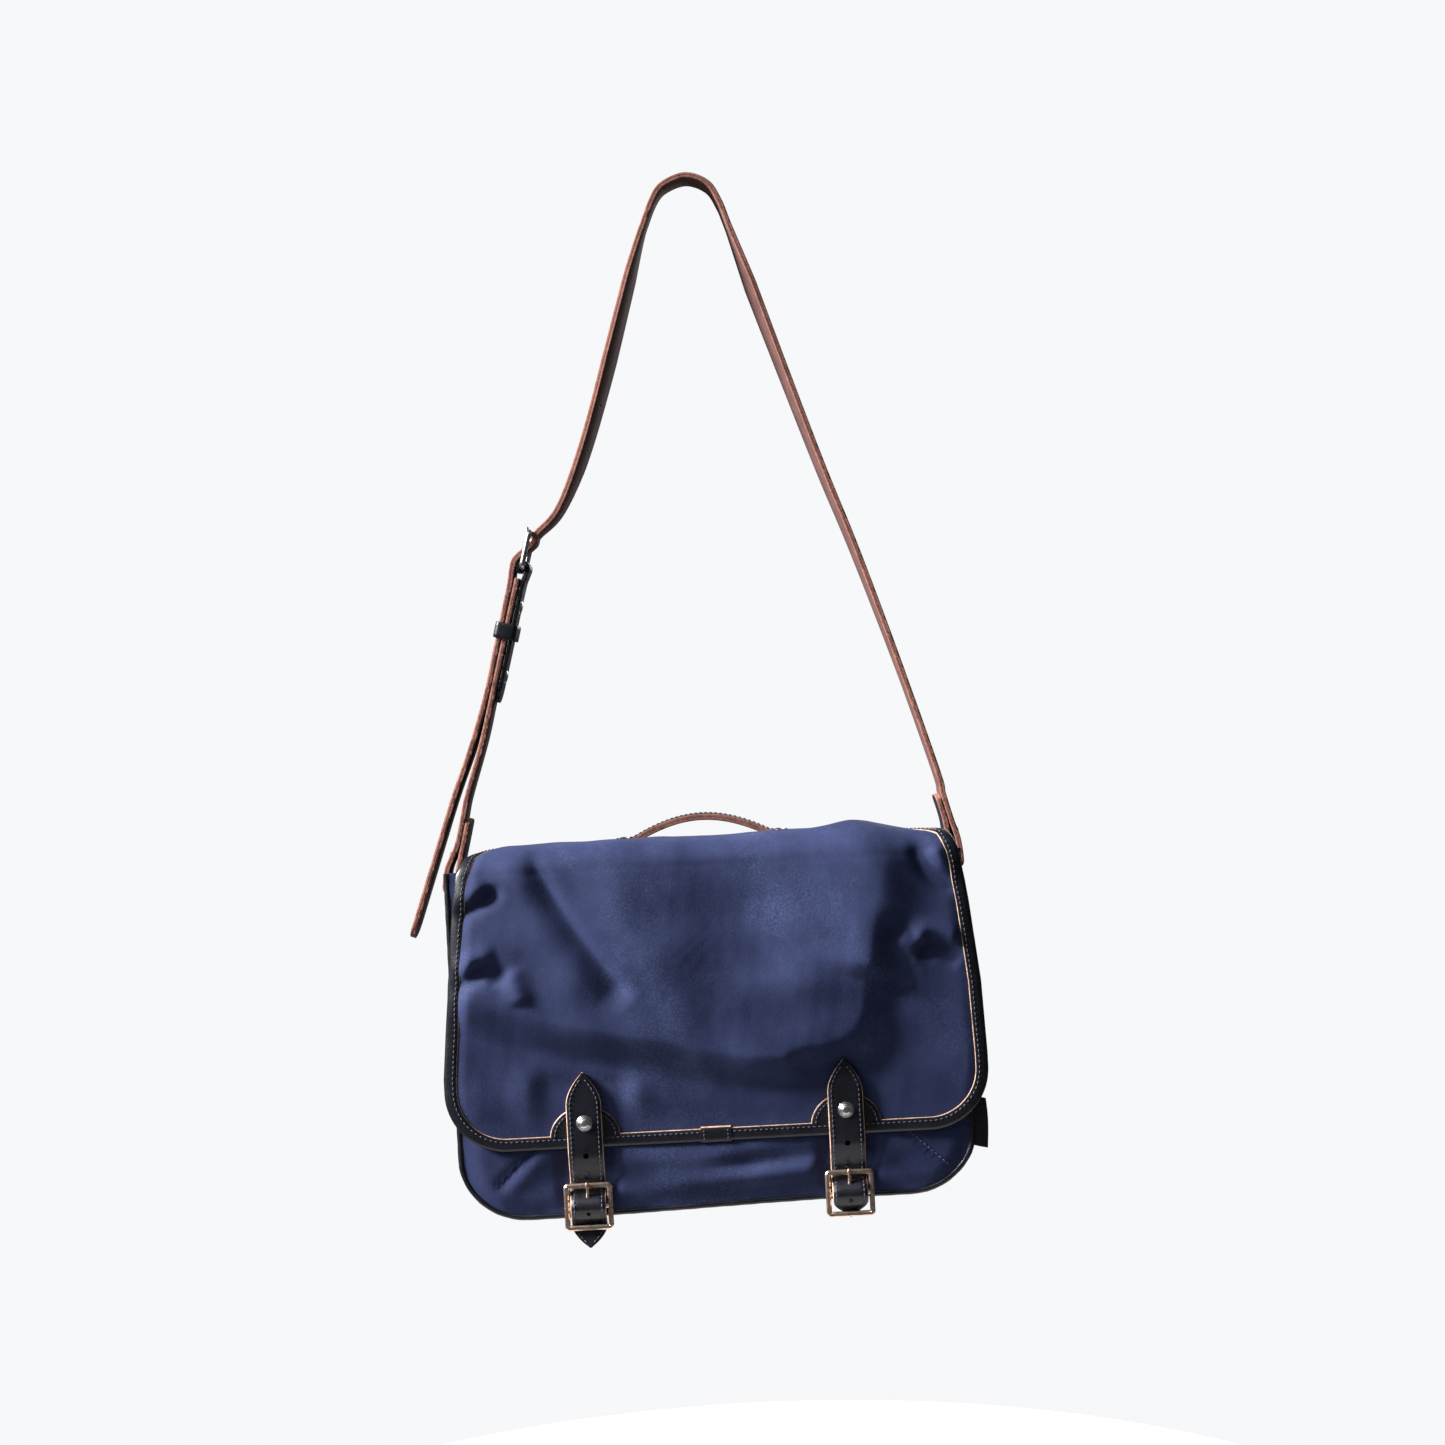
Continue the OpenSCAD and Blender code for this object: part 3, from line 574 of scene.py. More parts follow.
# each fold: its line, its height, its widths on the right and left of the line, and how its ends fade
FLAP_FOLDS = (
    # the long slanting fold on the left, a bulge beside it and the broad hollow right of the middle
    ([(-140, 285), (-124, 238), (-98, 198), (-70, 166)], 5.0, 20, 13),
    ([(-128, 272), (-111, 236), (-85, 196), (-56, 158)], -5.2, 13, 6.5, 0.16),
    ([(-92, 290), (-62, 232), (-32, 184), (6, 150)], 6.6, 24, 32, 0.4),
    ([(-8, 305), (10, 258), (30, 222), (46, 190), (62, 158)], -6.4, 28, 38, 0.5),
    # the ridge up to the hump, and the pulls at the right edge
    ([(112, 300), (124, 262), (129, 225), (127, 195), (120, 165)], 6.2, 28, 25, 0.12),
    ([(146, 216), (139, 200), (137, 182), (143, 168), (158, 166)], -4.0, 12, 12),
    ([(140, 198), (150, 190), (163, 198)], 3.4, 9, 9),
    ([(158, 272), (160, 256), (168, 240), (188, 226)], -4.2, 7, 7),
    ([(168, 264), (176, 250), (190, 240)], 3.0, 7, 7),
    ([(152, 178), (163, 186), (174, 185), (188, 175)], -5.0, 7, 6),
    ([(150, 196), (166, 200), (190, 188)], 3.6, 8, 8),
    # the pulls at the left edge
    ([(-192, 224), (-174, 231), (-158, 239), (-146, 249)], -4.6, 6, 5),
    ([(-190, 236), (-172, 243), (-156, 252)], 3.4, 7, 8),
    ([(-192, 168), (-176, 180), (-162, 187), (-150, 180), (-147, 170)], -5.0, 7, 6),
    ([(-190, 182), (-170, 195), (-152, 198)], 3.6, 8, 8),
    ([(-147, 187), (-140, 173), (-137, 158)], 3.6, 8, 9),
    ([(-150, 112), (-120, 100), (-70, 96), (-30, 92)], 2.4, 14, 14),
    ([(20, 92), (60, 96), (88, 112)], -2.0, 12, 12),
)


def flap_puff(x, v):
    """How far the cloth stands out from the flap's line, at x and level v."""
    main = [(-190, 155), (-147, 143), (-89, 127), (-31, 115), (13, 104), (57, 101), (105, 115), (121, 134),
            (127, 156), (133, 182), (138, 210), (146, 240), (158, 275), (168, 330)]
    d, _ = line_field(x, v, spline(main, 6))
    above = smooth(-15, 15, d) * (1 - smooth(66, 190, x))
    p = 13.5 * above * (1 - 0.75 * smooth(150, 262, v)) * (1 - 0.35 * smooth(80, 170, -x))
    p += 2.3 * smooth(52, 90, v)
    for shape in FLAP_FOLDS:
        p += fold(x, v, *shape)
    return np.maximum(p, 0.4) + ripples(x, v, 0.5, 11, 30, 80) + ripples(x, v, 0.05, 12, 12, 26)


def flap_hump(x):
    """The soft line of the flap's top across the bag."""
    keys = [-182, -166, -150, -128, -74, 0, 60, 96, 118, 136, 150, 164, 184]
    heights = [-4, -4.5, -4.5, -4.5, -4.5, -4.5, -3.5, -3.5, -4, -5, -5.5, -3.5, -1]
    return sum(w * np.interp(x + d, keys, heights) for d, w in ((-9, 0.2), (-4, 0.3), (0, 0), (4, 0.3),
                                                                (9, 0.2)))


def flap_surface(x, along, lift=0.0):
    """Point of the flap's outer face, and its outward direction, for flat positions x and along."""
    x, along = np.broadcast_arrays(np.asarray(x, float), np.asarray(along, float))

    def place(x, along):
        y, z = (np.interp(along, FLAP_AT, FLAP_LINE[:, k]) for k in (0, 1))
        dy, dz = (np.interp(along, FLAP_AT, FLAP_DIR[:, k]) for k in (0, 1))
        level = np.where(along > FOLD_AT, z, 271 + (FOLD_AT - along))
        side = np.minimum(x + half_width(along, -1), half_width(along, 1) - x)
        calm = (0.22 + 0.78 * smooth(3, 17, side)) * (0.15 + 0.85 * smooth(60, 84, level))
        for s in (-1, 1):
            near = (1 - smooth(24, 44, np.abs(x - CLOSURE_X * s))) * (1 - smooth(96, 122, level))
            calm = calm * (1 - 0.94 * near)
        back = 1 - smooth(290, 330, level)
        p = flap_puff(x, level) * calm * back
        top = smooth(246, 268, level) * (1 - smooth(350, 392, level))
        cy, cz = dz, -dy
        return np.stack([x, y + cy * p, z + cz * p + flap_hump(x) * top], -1)

    e = 0.5
    here = place(x, along)
    du, dv = place(x + e, along) - place(x - e, along), place(x, along + e) - place(x, along - e)
    n = unit(np.cross(dv, du))
    return here + n * lift, n


def flap_grid(rows, columns=210):
    u = np.linspace(-1, 1, columns)
    rows = np.asarray(rows)[:, None]
    left, right = half_width(rows, -1) - 3, half_width(rows, 1) - 3
    x = (right - left) / 2 + u[None] * (right + left) / 2
    return flap_surface(x, np.broadcast_to(rows, x.shape))[0]


corner_start = float(along_at_height(FLAP_LOW + FLAP_CORNER))
front_rows = np.concatenate([np.arange(SPLIT_AT, FOLD_AT - 6, 3.0), np.arange(FOLD_AT - 6, FOLD_AT + 24, 1.6),
                             np.linspace(FOLD_AT + 24.5, corner_start, 84)[:-1],
                             corner_start + (FLAP_CORNER - 3) * np.sin(np.radians(np.linspace(0, 90, 18)))])
back_rows = np.linspace(0, SPLIT_AT, 34)


def on_fold(obj):
    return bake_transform(obj)


def on_back(obj):
    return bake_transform(obj)


flap_cloth = piece("flap_cloth", [shell(flap_grid(front_rows), 1.2)], [CLOTH] * 3, 60)
flap_back = piece("flap_back_cloth", [shell(flap_grid(back_rows), 1.2)], [CLOTH] * 3, 60)


def border(inset, start):
    """The flap's edge in flat positions (x, along), from the left round the bottom to the right."""
    sides = np.concatenate([np.arange(start, FOLD_AT - 6, 3), np.arange(FOLD_AT - 6, FOLD_AT + 26, 1.6),
                            np.arange(FOLD_AT + 26, corner_start, 3)])
    left = np.stack([-half_width(sides, -1) + inset, sides], 1)
    right = np.stack([half_width(sides, 1) - inset, sides], 1)[::-1]
    wide = (half_width(corner_start, -1), half_width(corner_start, 1))
    a = np.radians(np.arange(0, 90.1, 5))
    r = FLAP_CORNER - inset
    round_left = np.stack([-wide[0] + FLAP_CORNER - r * np.cos(a), corner_start + r * np.sin(a)], 1)
    round_right = np.stack([wide[1] - FLAP_CORNER + r * np.cos(a), corner_start + r * np.sin(a)], 1)[::-1]
    flat_x = np.arange(-wide[0] + FLAP_CORNER + 3, wide[1] - FLAP_CORNER - 1, 3)
    low = np.stack([flat_x, np.full(len(flat_x), END_AT - inset)], 1)
    return np.concatenate([left, round_left, low, round_right, right])


BINDING = [(4.95, -0.1), (4.95, 0.7), (4.6, 1.05), (3.0, 1.35), (0.4, 1.5), (-2.4, 1.42), (-4.0, 0.9),
           (-4.75, 0.0), (-4.9, -0.9), (-4.6, -1.9), (-3.4, -2.6), (0, -2.8), (4.4, -2.5), (5.0, -1.5)]
BINDING_INDEX = [1, 1] + [0] * 12


def binding_part(flat, profile=BINDING, index=BINDING_INDEX):
    flat = np.asarray(flat, float)
    points, n = flap_surface(flat[:, 0], flat[:, 1])
    t = tangents(points)
    across = unit(np.cross(t, n)) * -1
    inner, _ = flap_surface(flat[:, 0] * 0.98, flat[:, 1] - 0.02 * (flat[:, 1] - corner_start + 90))
    facing = np.sign((across * (inner - points)).sum(1)).mean()
    across = across * (1 if facing >= 0 else -1)
    return sweep(points, across, n, profile, index)


flat_border = border(4.9, SPLIT_AT)
binding = on_fold(piece("flap_binding", [binding_part(flat_border)], [LEATHER, TAN], 50))
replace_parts(binding, "flap_binding_left", "flap_binding_right", "flap_binding_bottom")
for side in (-1, 1):
    flat = np.array([(side * (half_width(a, side) - 4.9), a) for a in back_rows])
    edge = piece("flap_back_binding_" + ("left" if side < 0 else "right"), [binding_part(flat)],
                 [LEATHER, TAN], 50)
    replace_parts(on_back(edge), "flap_top_binding_left" if side < 0 else "flap_top_binding_right")


def flap_stitches(flat, lift, pitch=3.9, **kind):
    points, n = flap_surface(np.asarray(flat)[:, 0], np.asarray(flat)[:, 1], lift)
    return stitches(points, n, pitch, **kind)


binding_thread = flap_stitches(border(7.2, SPLIT_AT), 1.28)
on_fold(piece("flap_binding_stitches", [binding_thread], [THREAD]))
seam_rows = [[(x, a) for x in np.arange(-144, 145, 3.0)] for a in (6.0, 11.0)]
back_thread = piece("flap_seam_stitches", [flap_stitches(r, 0.0) for r in seam_rows], [THREAD])
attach(back_thread, "bag")

cover_flat = [(x, END_AT - 4.9) for x in np.linspace(-11, 11, 12)]
COVER = [(6.4, -0.1), (6.4, 0.9), (5.6, 1.6), (3.0, 1.95), (0, 2.1), (-3, 2.0), (-4.9, 1.2), (-5.9, -0.2),
         (-5.9, -1.4), (-4.8, -2.7), (-3, -3.2), (0, -3.4), (5.6, -3.1), (6.4, -1.8)]
cover = piece("binding_joint_sleeve", [binding_part(cover_flat, COVER)], [LEATHER, TAN], 50)
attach(cover, "flap_front")
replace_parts(cover, "binding_joint_cover")
cover_thread = []
for x in (-8.8, 8.8):
    line = [(x, END_AT - 4.9 + d) for d in np.linspace(-4.6, 4.0, 6)]
    cover_thread.append(flap_stitches(line, 2.0, 2.6, long=1.8, thick=0.36))
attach(piece("binding_sleeve_stitches", cover_thread, [THREAD]), "flap_front")

# ---------------------------------------------------------------- leather bands


def band_profile(w, t, groove=0.35, crown=0.12):
    """Section of a flat strap with eased corners and, in each cut edge, the line between its two plies."""
    h, k = w / 2, t / 2
    e = min(0.55, t * 0.22)
    upper = [(-h + e, k), (-h * 0.55, k + crown), (0, k + crown * 1.3), (h * 0.55, k + crown), (h - e, k)]
    right = [(h, k - e), (h, 0.28), (h - groove, 0), (h, -0.28), (h, -k + e)]
    lower = [(h - e, -k), (0, -k - crown * 0.4), (-h + e, -k)]
    left = [(-h, -k + e), (-h, -0.28), (-h + groove, 0), (-h, 0.28), (-h, k - e)]
    return np.array(upper + right + lower + left), [0] * 4 + [2] * 6 + [1] * 2 + [2] * 6


def band(route, w, t, plane="xz", ends=(None, None), n=10, step=2.2, turn=None):
    """A strap along a route. Its outer face is on the left of the direction of travel, seen along the width.
    turn is the angle, by height, through which its inner face looks towards the front."""
    path2 = resample(spline(route, n), step) if step else spline(route, n)
    t2 = tangents(path2)
    zero = np.zeros(len(path2))
    if plane == "xz":
        path = np.stack([path2[:, 0], zero, path2[:, 1]], 1)
        across, out = Y_AXIS, np.stack([-t2[:, 1], zero, t2[:, 0]], 1)
    else:
        path = np.stack([zero, path2[:, 0], path2[:, 1]], 1)
        across, out = X_AXIS, np.stack([zero, t2[:, 1], -t2[:, 0]], 1)
    at = lengths(path)
    width = np.ones(len(path))
    for which, end in enumerate(ends):
        if end is None:
            continue
        shape, size = end
        d = at if which == 0 else at[-1] - at
        q = np.clip(d / size, 0, 1)
        if shape == "round":
            width *= np.sqrt(np.maximum(0.0025, 1 - (1 - q) ** 2))
        elif shape == "ogive":
            width *= np.maximum(0.05, 1 - (1 - q) ** 1.9)
        else:
            width *= np.maximum(0.05, np.sin(q * math.pi / 2) ** 0.85)
    if turn is not None:
        angle = np.radians(np.interp(path[:, 2], *turn))[:, None]
        c, s = np.cos(angle), np.sin(angle)
        across, out = Y_AXIS * c - out * s, out * c + Y_AXIS * s
    profile, index = band_profile(w, t)
    return sweep(path, across, out, profile, index, width=width), path, out, width


def shift(part, dx=0.0, dy=0.0):
    return part[0] + np.array([dx, dy, 0.0]), part[1], part[2]


# a strap narrower than this share of its width carries no sewing
LEAST_SEWN = 0.301


def edge_lines(path, out, width, w, t, inset, across):
    """The two sewing lines down a strap, inset from its edges and drawn in where it narrows."""
    lines = []
    keep = width > LEAST_SEWN
    for s in (-1, 1):
        offset = s * (w / 2 * width - inset)
        ok = keep & (w / 2 * width > inset + 0.4)
        lines.append((path + across * offset[:, None] + out * (t / 2 + 0.05))[ok])
    return lines


# ---------------------------------------------------------------- shoulder strap
STRAP_W, STRAP_T = 30, 4.2
BUCKLE_AT, BUCKLE_TILT = (-124, 484), math.radians(15)
STRAP_SET = [STRAP_FACE, FLESH, EDGE]
TOP_AT, FLEX_HIGH, FLEX_LOW = (-19, 741), 313, 297


def from_buckle(x, z):
    c, s = math.cos(BUCKLE_TILT), math.sin(BUCKLE_TILT)
    return BUCKLE_AT[0] + x * c + z * s, BUCKLE_AT[1] - x * s + z * c


def at_buckle(points):
    """Points in the shoulder buckle's frame, moved to the bag's."""
    points = np.asarray(points, float)
    x, z = from_buckle(points[..., 0], points[..., 2])
    return np.stack([x, points[..., 1], z], -1)


def placed(part):
    return at_buckle(part[0]), part[1], part[2]


tail_route = [(-223, 208), (-201, 269), (-185, 313), (-170, 350), from_buckle(-6.9, -100), from_buckle(-6.9,
                                                                                                       -64),
              from_buckle(-6.9, -30), from_buckle(-6.9, -19), from_buckle(-7.2, -11), from_buckle(-7.9, -3),
              from_buckle(-7.4, 4.5), from_buckle(-2.6, 11.5), from_buckle(3.9, 20.5), from_buckle(4.7, 27),
              (-95, 526), (-76, 565), (-56, 623), (-27, 718), TOP_AT]
left_part, left_path, left_out, _ = band(tail_route, STRAP_W, STRAP_T, ends=(("round", 13), None),
                                      turn=([505, 560, 640, 700, 738], [0, 9, 12, 9, 0]))
long_left = piece("shoulder_strap_left", [left_part], STRAP_SET, 45)
hole_places = []
for z in (508, 540, 572, 604):
    k = int(np.argmin(np.abs(left_path[:, 2] - z)))
    hole_places.append((left_path[k], left_out[k]))
cut(long_left, [rod(p - o * 5, p + o * 5, 1.9, False, 18, 0) for p, o in hole_places])
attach(long_left, "strap")
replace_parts(long_left, "strap_crown", "strap_left_leg", "strap_threaded", "strap_tail")

right_route = [TOP_AT, (-11.5, 758), (-3, 768), (14, 773.5), (30, 767), (38, 754), (44, 737), (66, 668),
               (103, 555), (128, 484), (157, 394), (181, FLEX_HIGH), (184.1, FLEX_LOW), (189.2, 277),
               (193.6, 262), (195.2, 246), (194, 242.9), (191, 241.6), (188, 242.9), (186.8, 246),
               (186.4, 258), (184.6, 277), (179.5, 296.5)]
right_part, _, _, _ = band(right_route, STRAP_W, STRAP_T, ends=(None, ("round", 4)), step=1.6,
                           turn=([380, 480, 600, 690, 735], [0, 3, 6, 9, 0]))
long_right = piece("shoulder_strap_right", [right_part], STRAP_SET, 45)
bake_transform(long_right)
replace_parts(long_right, "strap_right_leg", "strap_end_right")

short_route = [(-174.8, 296.5), (-179.7, 277), (-184.5, 258), (-186.8, 246), (-188, 242.9), (-191, 241.6),
               (-194, 242.9), (-195.2, 246), (-192.5, 260), (-184.4, 277), (-179, FLEX_LOW),
               (-175, FLEX_HIGH), (-161, 355), from_buckle(-2.3, -100), from_buckle(-2.3, -50),
               from_buckle(-2.3, -9)]
short_part, _, _, _ = band(short_route, STRAP_W, STRAP_T, ends=(("round", 4), None), step=1.6)
short = piece("shoulder_strap_short", [short_part], STRAP_SET, 45)
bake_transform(short)
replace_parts(short, "buckle_strap", "strap_end_left")

# the chape: one layer folded round the heel bar, its long leg riveted to the short strap
fold_route = [(1.8, -104), (1.9, -60), (1.9, -16), (2.8, -6), (3.65, 0), (2.6, 2.6), (0, 3.65), (-2.6, 2.6),
              (-3.6, 0), (-3.0, -4)]
fold_part, _, _, _ = band([from_buckle(*p) for p in fold_route[::-1]], STRAP_W - 1, 3.2,
                          ends=(None, ("round", 13)), step=1.2)
chape = piece("shoulder_chape", [fold_part], [LEATHER, FLESH, LEATHER], 45)
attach(chape, "strap")
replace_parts(chape, "chape_fold")

heads = []
for z in (-30, -84):
    heads.append(placed(lathe((3.55, 0, z), (1, 0, 0), [(0.3, 1.5), (2.2, 1.42), (3.8, 1.1), (4.8, 0.6),
                                                        (5.1, 0.1), (5.0, -0.4), (0.3, -0.4)])))
    heads.append(placed(rod((-4.5, 0, z), (3.6, 0, z), 1.9)))
rivets = piece("shoulder_rivets", heads, [SILVER])
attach(rivets, "strap")
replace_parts(rivets, "chape_rivets")

heel, far = 0, 27
frame_loop = rounded_loop(18, (far - heel) / 2, 3.4, 6)
bow = 1.4 * np.cos(np.pi * frame_loop[:, 1] / (far - heel)) * (np.abs(frame_loop[:, 0]) > 13)
loop3 = np.stack([-bow, frame_loop[:, 0], frame_loop[:, 1] + (far + heel) / 2], 1)
buckle_parts = [placed(tube(loop3, 2.1, True, 16)), placed(rod((0, -17, 0), (0, 17, 0), 2.0))]
big_buckle = piece("shoulder_buckle_frame", buckle_parts, [SILVER])
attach(big_buckle, "strap")
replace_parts(big_buckle, "shoulder_buckle")

prong_line = spline([(-3.2, 0, 0.5), (-3.4, 0, 6), (-3.2, 0, 16), (-3.6, 0, 25), (-4.3, 0, 31.5)], 8)
prong_r = np.interp(np.linspace(0, 1, len(prong_line)), [0, 0.05, 0.8, 0.97, 1], [1.0, 1.5, 1.35, 1.15, 0.5])
eye = [(0.2 + 2.9 * math.cos(a), 0, 2.9 * math.sin(a)) for a in np.linspace(0, 2 * math.pi, 20,
                                                                            endpoint=False)]
big_prong = piece("shoulder_buckle_prong", [placed(tube(prong_line, prong_r)), placed(tube(eye, 1.0, True))],
                  [SILVER])
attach(big_prong, "shoulder_prong")
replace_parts(big_prong, "shoulder_prong")

keep_loop = rounded_loop(7.6, 16.4, 2.6, 5)
keep_mid = -2.7
keep_path = np.stack([keep_loop[:, 0] + keep_mid, keep_loop[:, 1], np.full(len(keep_loop), -50.0)], 1)
keep_out = unit(np.cross(tangents(keep_path, True), Z_AXIS))
keep_profile, keep_index = band_profile(12, 1.8, 0.2, 0.1)
keep_part = sweep(keep_path, Z_AXIS, keep_out, keep_profile, keep_index, True)
keeper = piece("shoulder_keeper", [placed(keep_part)], [LEATHER, FLESH, LEATHER], 45)
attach(keeper, "keeper")
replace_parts(keeper, "keeper")

studs = []
for s, x, tilt in ((-1, -185.7, 22), (1, 188.9, -12)):
    axis = np.array([math.cos(math.radians(tilt)), 0, -math.sin(math.radians(tilt))]) * s
    centre = np.array([x, 0, 267.0])
    studs.append(rod(centre - axis * 6.6, centre + axis * 5.4, 1.8))
    studs.append(lathe(centre + axis * 5.3, axis, [(0.3, 1.5), (1.8, 1.35), (2.9, 0.9), (3.5, 0.3),
                                                   (3.4, -0.2), (0.3, -0.2)]))
    studs.append(lathe(centre - axis * 5.3, -axis, [(0.3, 1.0), (2.0, 0.9), (2.9, 0.4), (2.8, -0.2),
                                                    (0.3, -0.2)]))
stud_piece = piece("strap_end_studs", studs, [BLACK])
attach(stud_piece, "bag")
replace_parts(stud_piece, "strap_end_rivets")

RING_X, RING_Z = 191.0, 237
for s, name in ((-1, "left"), (1, "right")):
    ring = rounded_loop(18, 9, 3.0, 6)
    ring_path = np.stack([np.full(len(ring), RING_X * s), ring[:, 0], ring[:, 1] + RING_Z], 1)
    wire = piece("ring_wire_" + name, [tube(ring_path, 2.0, True, 16)], [SILVER])
    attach(wire, "bag")
    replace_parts(wire, "ring_" + name)
    tab_route = [(183.4, 190), (184.2, 204), (184.4, 218), (186.4, 223.6), (190.6, 224.6), (194.4, 226.4),
                 (194.6, 229.8), (191.4, 232.2), (187.6, 230), (185.6, 222.5)]
    tab_part, _, _, _ = band([(x * s, z) for x, z in tab_route], 30, 2.2, ends=(("round", 4), None), step=1.0)
    tab = piece("ring_loop_" + name, [tab_part], [LEATHER, LEATHER, EDGE], 45)
    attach(tab, "bag")
    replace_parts(tab, "ring_tab_" + name)

# ---------------------------------------------------------------- body
PANEL_HALF, PANEL_R, FRONT_TOP, BACK_TOP = 187, 45, 258.5, 258


def panel_half(z):
    drop = np.clip((PANEL_R - z) / PANEL_R, 0, 1)
    return PANEL_HALF - PANEL_R * (1 - np.sqrt(np.maximum(0, 1 - drop ** 2)))


def base_lift(x):
    """How far the loaded base curves up from its lowest line, more towards the right."""
    return 3.8 + 4.4 * smooth(-130, 110, np.asarray(x, float))


def settled(points):
    points = np.array(points, float)
    points[..., 2] += base_lift(points[..., 0]) * (1 - smooth(0, 70, points[..., 2]))
    return points


def panel_rows(top):
    low = PANEL_R - PANEL_R * np.sin(np.radians(np.linspace(90, 0, 16)))
    return np.concatenate([low, np.linspace(PANEL_R, top, 62)[1:]])


BODY_FOLDS = (
    ([(-150, 62), (-80, 44), (-10, 38), (60, 44)], 3.0, 9, 12),
    ([(-60, 22), (10, 19), (80, 24), (150, 38)], 4.4, 8, 12),
    ([(-20, 30), (60, 33), (130, 38)], -2.8, 6, 6),
    ([(-130, 30), (-60, 30)], -2.0, 7, 7),
    ([(-130, 58), (-148, 38), (-168, 17)], -3.0, 2.6, 3.2),
    ([(-124, 52), (-142, 32), (-160, 14)], 1.6, 6, 6),
    ([(136, 52), (152, 34), (168, 16)], -1.3, 2.2, 2.2, 0.1),
)


def front_puff(x, z):
    half = panel_half(z)
    inset = np.minimum(half - np.abs(x), z + 0.5)
    crown = smooth(-2, 16, inset)
    p = 3.2 * crown * (1 - 0.5 * smooth(200, 262, z))
    p += 1.6 * smooth(6, 60, inset)
    for shape in BODY_FOLDS:
        p += fold(x, z, *shape) * crown
    hide = 1 - smooth(44, 80, z)
    for s in (-1, 1):
        hide = hide * (1 - 0.8 * (1 - smooth(16, 30, np.abs(x - CLOSURE_X * s))))
    out = np.minimum(p, 3.4) * (1 - hide) + p * hide
    aside = np.minimum(np.abs(x - CLOSURE_X), np.abs(x + CLOSURE_X))
    under_strap = (1 - smooth(15, 26, aside)) * (1 - smooth(30, 60, z))
    out = out * (1 - 0.85 * under_strap)
    return out + ripples(x, z, 0.25, 21) * crown


def front_point(x, z, lift=0.0):
    x, z = np.broadcast_arrays(np.asarray(x, float), np.asarray(z, float))
    y = -55.0 - front_puff(x, z) - lift
    return settled(np.stack([x, y, z], -1))


def panel_grid(place, top, columns=120):
    z = panel_rows(top)[:, None]
    u = np.linspace(-1, 1, columns)[None]
    return place(panel_half(z) * u, np.broadcast_to(z, (len(z), columns)))


front = piece("front_cloth", [shell(panel_grid(front_point, FRONT_TOP), 1.6, True)], [CLOTH, LINING, CLOTH],
              60)
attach(front, "bag")
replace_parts(front, "front_panel")


def back_puff(x, z):
    inset = np.minimum(panel_half(z) - np.abs(x), z + 0.5)
    p = 1.2 * smooth(-2, 18, inset)
    p += fold(x, z, [(-150, 190), (-40, 170), (90, 178), (160, 200)], 0.5, 20, 16)
    p += fold(x, z, [(-160, 60), (-30, 84), (120, 66)], 0.5, 14, 20)
    return np.minimum(p + ripples(x, z, 0.18, 31, 30, 80) * smooth(0, 20, inset), 1.9)


def back_point(x, z, lift=0.0):
    x, z = np.broadcast_arrays(np.asarray(x, float), np.asarray(z, float))
    return settled(np.stack([x, 54.6 + back_puff(x, z) + lift, z], -1))


back = piece("back_cloth", [shell(panel_grid(back_point, BACK_TOP), 1.6)], [CLOTH, LINING, CLOTH],
             60)
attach(back, "bag")
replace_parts(back, "back_panel")

# the side walls and the base are one strip that runs round the panels' edge
SIDE_TOP = 250


def outline(inset, top, n=14):
    """Panel edge from the left top round the base to the right top, as (x, z)."""
    r = PANEL_R - inset
    side = np.linspace(top, PANEL_R, 46)
    a = np.radians(np.linspace(0, 90, n))
    left = np.stack([np.full(len(side), -PANEL_HALF + inset), side], 1)
    turn = np.stack([-PANEL_HALF + PANEL_R - r * np.cos(a), PANEL_R - r * np.sin(a)], 1)[1:]
    base = np.linspace(-PANEL_HALF + PANEL_R, PANEL_HALF - PANEL_R, 60)[1:-1]
    low = np.stack([base, np.full(len(base), float(inset))], 1)
    half = np.concatenate([left, turn])
    return np.concatenate([half, low, (half * np.array([-1, 1]))[::-1]])


def strip_grid(inset, y0, y1, sag, top, columns=34):
    edge = outline(inset, top)
    t = tangents(edge)
    out = np.stack([t[:, 1], -t[:, 0]], 1)
    y = np.linspace(y0, y1, columns)
    x, z = (np.broadcast_to(edge[:, k:k + 1], (len(edge), columns)) for k in (0, 1))
    yy = np.broadcast_to(y[None], x.shape)
    belly = np.cos(np.pi / 2 * (2 * (yy - y0) / (y1 - y0) - 1))
    wall = smooth(30, 60, z) * (1 - 0.9 * smooth(168, 190, z))
    low = 1 - smooth(2, 40, z)
    inward = belly * (sag * wall * (0.75 + 0.25 * np.cos(z / 38)) - 1.2 * low)
    inward = inward + ripples(yy * 2.2, z + x * 0.6, 0.35, 41, 26, 70) * belly * (1 - smooth(170, 190, z))
    inward = inward + fold(yy, z, [(-40, 150), (-6, 128), (36, 140)], 1.8, 8, 12) * wall
    inward = inward + fold(yy, z, [(-44, 70), (4, 92), (44, 84)], -1.6, 9, 9) * wall
    return settled(np.stack([x - inward * out[:, :1], yy, z - inward * out[:, 1:]], -1))


strip = piece("side_and_base_cloth", [shell(strip_grid(1.2, -54.4, 54.4, 5.0, SIDE_TOP), 1.5, True)],
              [CLOTH, LINING, CLOTH], 60)
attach(strip, "bag")
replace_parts(strip, "gusset_left", "gusset_right", "base_panel")

inner = [shell(strip_grid(5.4, -50.4, 50.4, 5.0, SIDE_TOP - 3), 0.8, True)]


def lining_wall(y, sign, seed):
    def place(x, z):
        x = x * (PANEL_HALF - 6) / PANEL_HALF
        inwards = sign * (1.2 + ripples(x, z, 0.7, seed, 40, 110))
        return settled(np.stack([x, y + inwards, np.maximum(z, 5.5)], -1))
    return place


